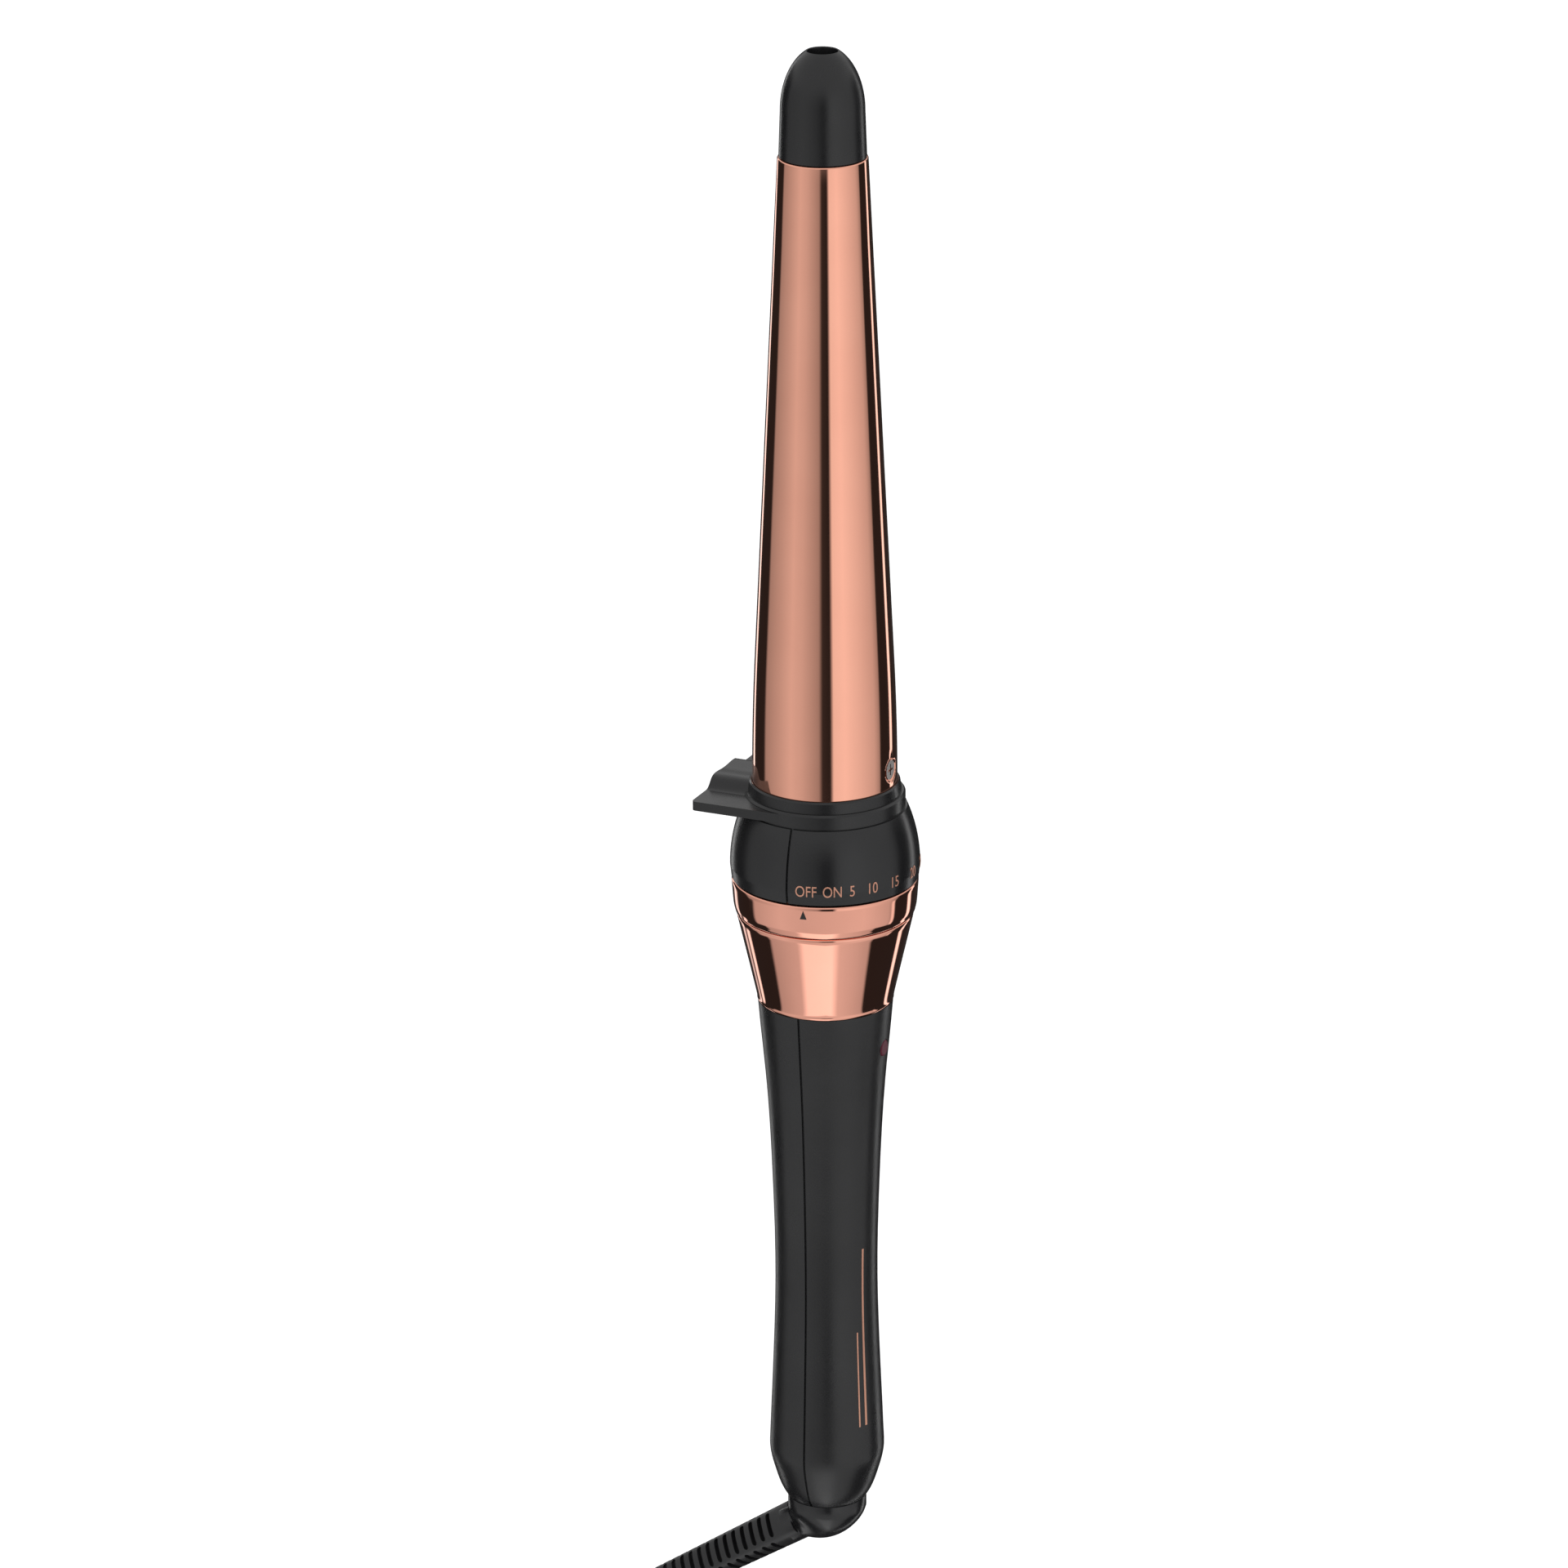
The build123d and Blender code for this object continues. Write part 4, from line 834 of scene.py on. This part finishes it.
    def build(self, finishes: FinishLibrary, nodes: dict[str, bpy.types.Object]) -> None:
        """Make the dial, the ferrule, the scale and the pointer, and dress them."""
        ring = self.ring()
        head = Surface((nodes["head_front_shell"], nodes["head_rear_shell"]))
        scale, pointer = self.lettering(head), self.pointer(Surface((ring,)))
        keep(ring, finishes, "rose_gold_trim", "dial", "dial_ring")
        keep(self.gear(finishes), finishes, "rose_gold_trim", "dial")
        keep(self.ferrule(), finishes, "rose_gold_trim", "root", "ferrule")
        keep(scale, finishes, "rose_gold_trim", "root", finish="scale_print")
        keep(pointer, finishes, "black_case", "dial", finish="pointer_print")


@dataclass
class HandleTrim:
    """Two plain pinstripes on the handle's side."""

    stripes: tuple[tuple[float, float, float, float], ...] = (
        (-22.0, -14.0, 43.0, 0.55), (-30.5, -24.0, 23.0, 0.35),
    )
    depth: float = 0.06
    lift: float = 0.02

    def build(self, finishes: FinishLibrary, nodes: dict[str, bpy.types.Object]) -> None:
        """Lay the stripes on the handle."""
        grip = Surface((nodes["handle_front_shell"], nodes["handle_rear_shell"]))
        meshes = []
        for angle, middle, length, width in self.stripes:
            mesh = flat_strip(width, length, self.depth)
            grip.wrap(mesh, angle, middle, self.lift)
            meshes.append(mesh)
        keep(join_meshes("grip_pinstripes", meshes), finishes, "rose_gold_trim", "root", finish="scale_print")


def rounded_ring(centre: Vector, across: Vector, up: Vector, half: float, power: float, count: int) -> list:
    """A ring between a circle (power 2) and a rounded square.

    Args:
        centre: the ring's centre in metres.
        across: unit vector across.
        up: unit vector up.
        half: half its width in mm.
        power: the corner's squareness.
        count: number of points.

    Returns:
        The points.
    """
    ring = []
    for i in range(count):
        angle = 2 * math.pi * i / count
        c, s = math.cos(angle), math.sin(angle)
        x = math.copysign(abs(c) ** (2 / power), c) * half * MM
        y = math.copysign(abs(s) ** (2 / power), s) * half * MM
        ring.append(centre + across * x + up * y)
    return ring


@dataclass
class CordExit:
    """The swivelling elbow and the slotted strain relief."""

    top_z: float = -56.3
    straight: float = 3.0
    elbow_r: float = 8.95
    drop: float = 34.0
    axis_z: float = -59.8
    pivot_x: float = -9.6
    neck_half: float = 4.3
    neck_end: float = 10.5
    root_half: float = 4.35
    end_half: float = 3.75
    reach: float = 54.0
    slot_start: float = 14.2
    slot_pitch: float = 2.65
    slot_width: float = 1.2
    slot_half: float = 2.95
    slot_floor: float = 2.75
    slot_rows: int = 14
    squareness: float = 3.1
    face_roll: float = 33.0
    sweep_softness: float = 0.4

    def way(self) -> Vector:
        """Unit vector along the strain relief."""
        drop = math.radians(self.drop)
        return Vector((-math.cos(drop), 0, -math.sin(drop)))

    def along(self, distance: float) -> Vector:
        """A point on the strain relief's axis, from a distance in mm."""
        return Vector((0, 0, self.axis_z * MM)) + self.way() * distance * MM

    def elbow(self) -> bpy.types.Object:
        """The elbow: a short drum that sweeps into the neck of the relief."""
        across = Vector((0, 1, 0))
        rings = [
            rounded_ring(Vector((0, 0, z * MM)), across, Vector((1, 0, 0)), r, 2.0, 64)
            for r, z in ((8.5, self.top_z), (8.85, self.top_z - 0.1), (self.elbow_r, self.top_z - 0.4),
                         (self.elbow_r, self.top_z - self.straight))
        ]
        pivot = Vector((self.pivot_x * MM, 0, (self.top_z - self.straight) * MM))
        bend = math.radians(90.0 - self.drop)
        end_centre = self.along(abs(self.pivot_x) * math.cos(math.radians(self.drop)))
        first, last = abs(self.pivot_x) * MM, (end_centre - pivot).length
        steps = 26
        for i in range(1, steps + 1):
            t = i / steps
            ease = self.sweep_softness * smoothstep(0, 1, t) + (1 - self.sweep_softness) * t
            turn = bend * t
            out = Vector((math.cos(turn), 0, -math.sin(turn)))
            centre = pivot + out * (first + (last - first) * ease)
            half = self.elbow_r + (self.neck_half - self.elbow_r) * ease
            power = 2.0 + (self.squareness - 2.0) * ease
            rings.append(rounded_ring(centre, across, out, half, power, 64))
        neck = self.along(self.neck_end)
        rings.append(rounded_ring(neck, across, out, self.neck_half, self.squareness, 64))
        return skin_rings("elbow_sweep", rings)

    def relief_body(self) -> bpy.types.Object:
        """The plain tapering body of the strain relief."""
        turn = Matrix.Rotation(math.radians(self.face_roll), 3, self.way())
        across = turn @ Vector((0, 1, 0))
        up = self.way().cross(across)
        stations = [(8.1, self.neck_half - 0.05), (8.3, self.root_half)]
        count = 12
        for i in range(1, count + 1):
            t = i / count
            stations.append((8.3 + (self.reach - 8.7) * t,
                             self.root_half + (self.end_half - self.root_half) * t))
        stations.append((self.reach, self.end_half - 0.3))
        rings = [rounded_ring(self.along(d), across, up, half, self.squareness, 56) for d, half in stations]
        return skin_rings("relief_blank", rings)

    def slot_shape(self) -> bpy.types.Object:
        """One slot cutter with rounded ends, standing out along +X."""
        r = self.slot_width / 2
        outline = []
        for side, start in ((1, -90), (-1, 90)):
            for k in range(7):
                angle = math.radians(start + 30 * k)
                outline.append((side * (self.slot_half - r) + r * math.cos(angle), r * math.sin(angle)))
        verts = [(x * MM, y * MM, z * MM) for x in (self.slot_floor, 7.0) for y, z in outline]
        n = len(outline)
        faces = [list(range(n)), list(range(n, 2 * n))]
        faces += [[i, (i + 1) % n, n + (i + 1) % n, n + i] for i in range(n)]
        return solid("slot_shape", verts, faces)

    def slot_tree(self) -> bpy.types.NodeTree:
        """Rows of slots on four faces, each row half a pitch from its neighbours."""
        tree, g, start, end = new_group("relief_slots", "Geometry", {
            "Rows": ("Int", 14), "Pitch": ("Float", 0.00265), "First Slot": ("Float", 0.014),
            "Slot": ("Object", None), "Material": ("Material", None),
        }, {"Geometry": "Geometry"})
        shape = g.add("GeometryNodeObjectInfo", {"Object": start["Slot"]}).outputs["Geometry"]
        pitch = start["Pitch"]
        join = g.add("GeometryNodeJoinGeometry")
        for face in range(4):
            first = start["First Slot"]
            if face % 2:
                first = g.maths("ADD", first, g.maths("MULTIPLY", pitch, 0.5))
            row = row_of(g, shape, start["Rows"], g.vector(Z=first), pitch)
            g.feed(join.inputs[0], carry(g, row, Rotation=(0, 0, math.radians(90 * face))))
        finish_tree(g, join.outputs[0], start["Material"], end)
        return tree

    def relief(self, finishes: FinishLibrary) -> bpy.types.Object:
        """The strain relief with its slots cut."""
        body, shape = self.relief_body(), self.slot_shape()
        cutter = grow("relief_cutter", self.slot_tree(), {
            "Rows": self.slot_rows, "Pitch": self.slot_pitch * MM, "First Slot": self.slot_start * MM,
            "Slot": shape, "Material": finishes.get("black_rubber"),
        })
        turn = lay_along(self.way()) @ Matrix.Rotation(math.radians(self.face_roll), 4, "Z")
        cutter.data.transform(Matrix.Translation((0, 0, self.axis_z * MM)) @ turn)
        cut = body.modifiers.new("slots", "BOOLEAN")
        cut.operation, cut.solver, cut.object = "DIFFERENCE", "EXACT", cutter
        mesh = baked(body)
        body.modifiers.clear()
        body.data = mesh
        body.name = "slotted_relief"
        settle(mesh)
        for spare in (cutter, shape):
            bpy.data.objects.remove(spare)
        return body

    def build(self, finishes: FinishLibrary) -> None:
        """Make the elbow and the relief and dress them."""
        keep(self.elbow(), finishes, "black_case", "swivel", "swivel_elbow")
        keep(self.relief(finishes), finishes, "black_rubber", "swivel", "strain_relief")


@dataclass
class PowerCord:
    """The mains lead: a short hanging stretch, a tied hank and a tail to the plug."""

    diameter: float = 6.0
    run_half: float = 45.0
    pinch: float = 11.0
    hank_x: float = -55.0
    hank_z: float = -211.0
    length: float = 1.85
    lead: tuple[Point, ...] = (
        (-44.77, 0, -90.0), (-61.4, 0, -101.2), (-74.0, -5.0, -117.0), (-79.0, -9.0, -134.0),
        (-79.0, -9.0, -148.0),
    )
    tail: tuple[Point, ...] = ((-79.0, 9.0, -274.0), (-79.0, 9.0, -291.0), (-77.3, 9.0, -307.0))
    turns: tuple[tuple[float, float, int], ...] = (
        (24, -9, 3), (18, -9, 2), (18, -3, 1), (24, -3, 0), (24, 3, 0), (24, 9, 0),
    )

    def run(self, side: int, lane: float, layer: float) -> list[Point]:
        """One straight run of the hank, pinched at the tie.

        Args:
            side: -1 for the run that goes down, 1 for the one that comes up.
            lane: distance from the hank's middle in mm.
            layer: its place through the hank's thickness in mm.

        Returns:
            The run's points in mm.
        """
        points = []
        for i in range(1, 9):
            t = i / 9
            x = self.hank_x + side * (lane - self.pinch * math.sin(math.pi * t) ** 2)
            points.append((x, layer, self.hank_z + side * self.run_half * (2 * t - 1)))
        return points

    def fold(self, end: int, lanes: tuple[float, float], layers: tuple[float, float], stage: int) -> list:
        """One fold of the hank.

        Args:
            end: -1 for the lower fold, 1 for the upper one.
            lanes: the lane before and after the fold.
            layers: the layer before and after the fold.
            stage: the quarter of the fold in which the cord changes lane or layer.

        Returns:
            The fold's points in mm.
        """
        points = []
        start = 180.0 if end < 0 else 0.0
        for i in range(9):
            t = i / 8
            moved = smoothstep(stage / 4, (stage + 1) / 4, t)
            lane = lanes[0] + (lanes[1] - lanes[0]) * moved
            layer = layers[0] + (layers[1] - layers[0]) * moved
            angle = math.radians(start + 180 * t)
            points.append((self.hank_x + lane * math.cos(angle), layer,
                           self.hank_z + end * self.run_half + lane * math.sin(angle)))
        return points

    def hank(self) -> list[Point]:
        """The hank's turns, one after the other."""
        points = []
        for (lane, layer, stage), (next_lane, next_layer, _) in zip(self.turns, self.turns[1:]):
            points += self.run(-1, lane, layer)
            points += self.fold(-1, (lane, lane), (layer, layer), 0)
            points += self.run(1, lane, layer)
            points += self.fold(1, (lane, next_lane), (layer, next_layer), stage)
        lane, layer, _ = self.turns[-1]
        return points + self.run(-1, lane, layer)

    def build(self, finishes: FinishLibrary) -> None:
        curve = bpy.data.curves.new("mains_cord", "CURVE")
        curve.dimensions, curve.use_fill_caps = "3D", True
        curve.bevel_depth, curve.bevel_resolution = self.diameter / 2 * MM, 5
        curve.resolution_u = 8
        route = [*self.lead, (self.lead[-1][0], self.lead[-1][1], self.hank_z + self.run_half), *self.hank(),
                 (self.tail[0][0], self.tail[0][1], self.hank_z - self.run_half), *self.tail]
        spline = curve.splines.new("NURBS")
        spline.points.add(len(route) - 1)
        for point, place in zip(spline.points, route):
            point.co = (*(c * MM for c in place), 1)
        spline.order_u = 3
        spline.use_endpoint_u = True
        cord = new_piece("mains_cord", curve)
        keep(cord, finishes, "black_rubber", "swivel", "power_cord", "cord_hank", "cord_tail")
        grips = PlugGrips().build(finishes)


@dataclass
class PlugGrips:
    """Raised grip ribs on both broad faces of the plug."""

    bars: int = 4
    pitch: float = 2.4
    first: float = 25.6
    bar_size: tuple[float, float, float] = (12.5, 0.9, 1.1)
    face: float = 7.35
    edge: float = 0.3
    tail_end: Point = (-77.3, 9.0, -307.0)
    tail_way: Point = (1.7, 0.0, -16.0)

    def tree(self) -> bpy.types.NodeTree:
        """Rows of rounded bars on two faces."""
        tree, g, start, end = new_group("plug_grips", "Geometry", {
            "Bars": ("Int", 4), "Pitch": ("Float", 0.0024), "First Bar": ("Float", 0.0256),
            "Face": ("Float", 0.00735), "Bar Size": ("Vector", (0.0125, 0.0009, 0.0011)),
            "Material": ("Material", None),
        }, {"Geometry": "Geometry"})
        bar = g.add("GeometryNodeMeshCube", {"Size": start["Bar Size"]}).outputs["Mesh"]
        first = g.vector(Y=start["Face"], Z=start["First Bar"])
        row = row_of(g, bar, start["Bars"], first, start["Pitch"])
        join = g.add("GeometryNodeJoinGeometry")
        for side in (row, carry(g, row, Rotation=(0, 0, math.pi))):
            g.feed(join.inputs[0], side)
        finish_tree(g, join.outputs[0], start["Material"], end)
        return tree

    def build(self, finishes: FinishLibrary) -> bpy.types.Object:
        """Make the ribs where the plug lies."""
        ribs = grow("plug_ribs", self.tree(), {
            "Bars": self.bars, "Pitch": self.pitch * MM, "First Bar": self.first * MM,
            "Face": self.face * MM, "Bar Size": [s * MM for s in self.bar_size],
            "Material": finishes.get("black_rubber"),
        })
        turn = lay_along(Vector(self.tail_way).normalized())
        ribs.data.transform(Matrix.Translation(Vector(self.tail_end) * MM) @ turn)
        soften = ribs.modifiers.new("soften", "BEVEL")
        soften.width, soften.segments = self.edge * MM, 3
        return keep(ribs, finishes, "black_rubber", "swivel")


# ------------------------------------------------------------------ studio
@dataclass
class Studio:
    """The camera, the pale floor and the studio cards that the bright metal reflects."""

    azimuth: float = 24.0
    elevation: float = 20.0
    distance: float = 1.6
    lens: float = 166.8
    aim_z: float = 115.5
    shift_left: float = 9.0
    roll: float = 0.31
    floor_z: float = -0.45
    floor_half: float = 14.0
    floor_glow: float = 0.45
    card_gain: float = 2.4
    side_drop: float = 38.0
    dial_tilt: tuple[float, float] = (-21.0, -26.0)
    ferrule_tilt: tuple[float, float] = (-43.0, -45.5)
    overhead_tilt: tuple[float, float] = (4.0, 22.0)
    backdrop: float = 0.98
    barrel_cards: tuple[tuple[float, float], ...] = (
        (-180, 0.05), (-157, 0.05), (-155, 2.0), (-149, 2.0), (-147, 0.03), (-113, 0.03), (-108, 0.5),
        (-80, 0.72), (-56, 0.95), (-38, 0.84), (-10, 0.5), (-4, 0.05), (9, 0.03), (14, 1.2), (32, 1.3),
        (60, 1.05), (86, 0.8), (97, 0.5), (100, 0.03), (126, 0.03), (128, 1.9), (134, 1.9), (136, 0.03),
        (180, 0.05),
    )
    dial_cards: tuple[tuple[float, float], ...] = (
        (-180, 0.05), (-153, 0.05), (-151, 1.8), (-145, 1.8), (-143, 0.03), (-106, 0.03), (-101, 0.72),
        (-60, 0.95), (-30, 0.88), (0, 0.95), (50, 1.05), (88, 0.8), (92, 0.62), (94, 1.3), (97, 1.3),
        (99, 0.03), (126, 0.03), (128, 2.0), (134, 2.0), (137, 0.03), (180, 0.05),
    )
    ferrule_cards: tuple[tuple[float, float], ...] = (
        (-180, 0.05), (-141, 0.05), (-139, 1.8), (-133, 1.8), (-131, 0.03), (-91, 0.03), (-86, 0.62),
        (-60, 0.78), (-44, 0.86), (-34, 1.6), (10, 1.75), (22, 1.0), (50, 0.84), (68, 0.7), (73, 0.03),
        (124, 0.03), (126, 1.9), (132, 1.9), (135, 0.03), (180, 0.05),
    )

    def camera(self) -> None:
        """Place the camera."""
        a, e = math.radians(self.azimuth), math.radians(self.elevation)
        back = Vector((math.sin(a) * math.cos(e), -math.cos(a) * math.cos(e), math.sin(e)))
        right = Vector((math.cos(a), math.sin(a), 0))
        aim = Vector((0, 0, self.aim_z * MM)) - right * self.shift_left * MM
        data = bpy.data.cameras.new("studio_camera")
        data.lens, data.sensor_width = self.lens, 36.0
        camera = new_piece("studio_camera", data)
        facing = (-back).to_track_quat("-Z", "Y").to_matrix().to_4x4()
        roll = Matrix.Rotation(math.radians(-self.roll), 4, "Z")
        camera.matrix_world = Matrix.Translation(aim + back * self.distance) @ facing @ roll
        bpy.context.scene.camera = camera

    def card_ramp(self, g: Graph, place: bpy.types.NodeSocket, cards: Sequence[tuple]) -> object:
        """Brightness round the studio as a ramp over the turn.

        Args:
            g: the world's graph.
            place: the turn, from 0 to 1.
            cards: (angle in degrees, brightness) of each stop.

        Returns:
            The brightness.
        """
        ramp = g.add("ShaderNodeValToRGB")
        stops = ramp.color_ramp.elements
        for _ in range(len(cards) - 2):
            stops.new(0.5)
        for stop, (angle, level) in zip(stops, cards):
            stop.position = (angle + 180) / 360
            share = level / self.card_gain
            stop.color = (share, share, share, 1)
        g.feed(ramp.inputs["Fac"], place)
        return g.maths("MULTIPLY", ramp.outputs["Color"], self.card_gain)

    def world(self) -> None:
        """Build the world: pale behind the camera's view, cards in what is reflected."""
        world = bpy.data.worlds.new("studio")
        world.use_nodes = True
        bpy.context.scene.world = world
        world.node_tree.nodes.clear()
        g = Graph(world.node_tree)
        way = g.add("ShaderNodeTexCoord").outputs["Generated"]
        a = math.radians(self.azimuth)
        axes = ((math.cos(a), math.sin(a), 0), (math.sin(a), -math.cos(a), 0))
        dots = [g.add("ShaderNodeVectorMath", {0: way, 1: axis}, operation="DOT_PRODUCT").outputs["Value"]
                for axis in axes]
        turn = g.maths("ADD", g.maths("DIVIDE", g.maths("ARCTAN2", *dots), 2 * math.pi), 0.5)
        parts = g.add("ShaderNodeSeparateXYZ", {0: way})
        tilt = g.maths("DEGREES", g.maths("ARCSINE", parts.outputs["Z"]))
        level = self.card_ramp(g, turn, self.barrel_cards)
        aside = g.maths("ABSOLUTE", g.maths("SUBTRACT", turn, 0.5))
        side_tilt = g.maths("SUBTRACT", tilt, g.maths("MULTIPLY", aside, self.side_drop))
        for cards, seen_tilt, (high, low) in ((self.dial_cards, tilt, self.dial_tilt),
                                              (self.ferrule_cards, side_tilt, self.ferrule_tilt)):
            share = g.span(seen_tilt, low, high, 1.0, 0.0)
            level = g.blend(share, level, self.card_ramp(g, turn, cards))
        level = g.blend(g.span(tilt, *self.overhead_tilt, 0.0, 1.0), level, 1.0)
        direct = g.add("ShaderNodeLightPath").outputs["Is Camera Ray"]
        light = g.add("ShaderNodeBackground", {"Strength": g.blend(direct, level, self.backdrop)})
        g.add("ShaderNodeOutputWorld", {"Surface": light.outputs[0]})

    def floor(self) -> None:
        """A large pale floor below the plug."""
        half = self.floor_half
        mesh = bpy.data.meshes.new("floor")
        sides = ((-half, -half), (half, -half), (half, half), (-half, half))
        corners = [(x, y, self.floor_z) for x, y in sides]
        mesh.from_pydata(corners, [], [(0, 1, 2, 3)])
        floor = new_piece("floor", mesh)
        material = bpy.data.materials.new("pale_floor")
        material.use_nodes = True
        shader = material.node_tree.nodes["Principled BSDF"]
        for name, value in {"Base Color": (0.9, 0.9, 0.9, 1), "Roughness": 0.9,
                            "Emission Color": (1, 1, 1, 1), "Emission Strength": self.floor_glow}.items():
            shader.inputs[name].default_value = value
        dress(floor, material)
        floor.visible_glossy = False

    def build(self) -> None:
        """Set up the camera, the world and the floor."""
        self.camera()
        self.world()
        self.floor()
        bpy.context.scene.view_settings.view_transform = "Standard"


def report_cad(nodes: dict[str, bpy.types.Object]) -> None:
    """Report how many triangles the carried-over CAD nodes have."""
    total = sum(len(node.data.polygons) for node in nodes.values())
    log.info("%d CAD nodes, %d triangles", len(nodes), total)


def main() -> None:
    """Build the studio and every sub-assembly in order."""
    nodes = frame["nodes"]
    finishes = FinishLibrary()
    Studio().build()
    PowerCord().build(finishes)
    finishes.dress_cad(nodes)
    report_cad(nodes)
    Barrel().build(finishes)
    HeatDial().build(finishes, nodes)
    HandleTrim().build(finishes, nodes)
    CordExit().build(finishes)


if __name__ == "__main__":
    main()
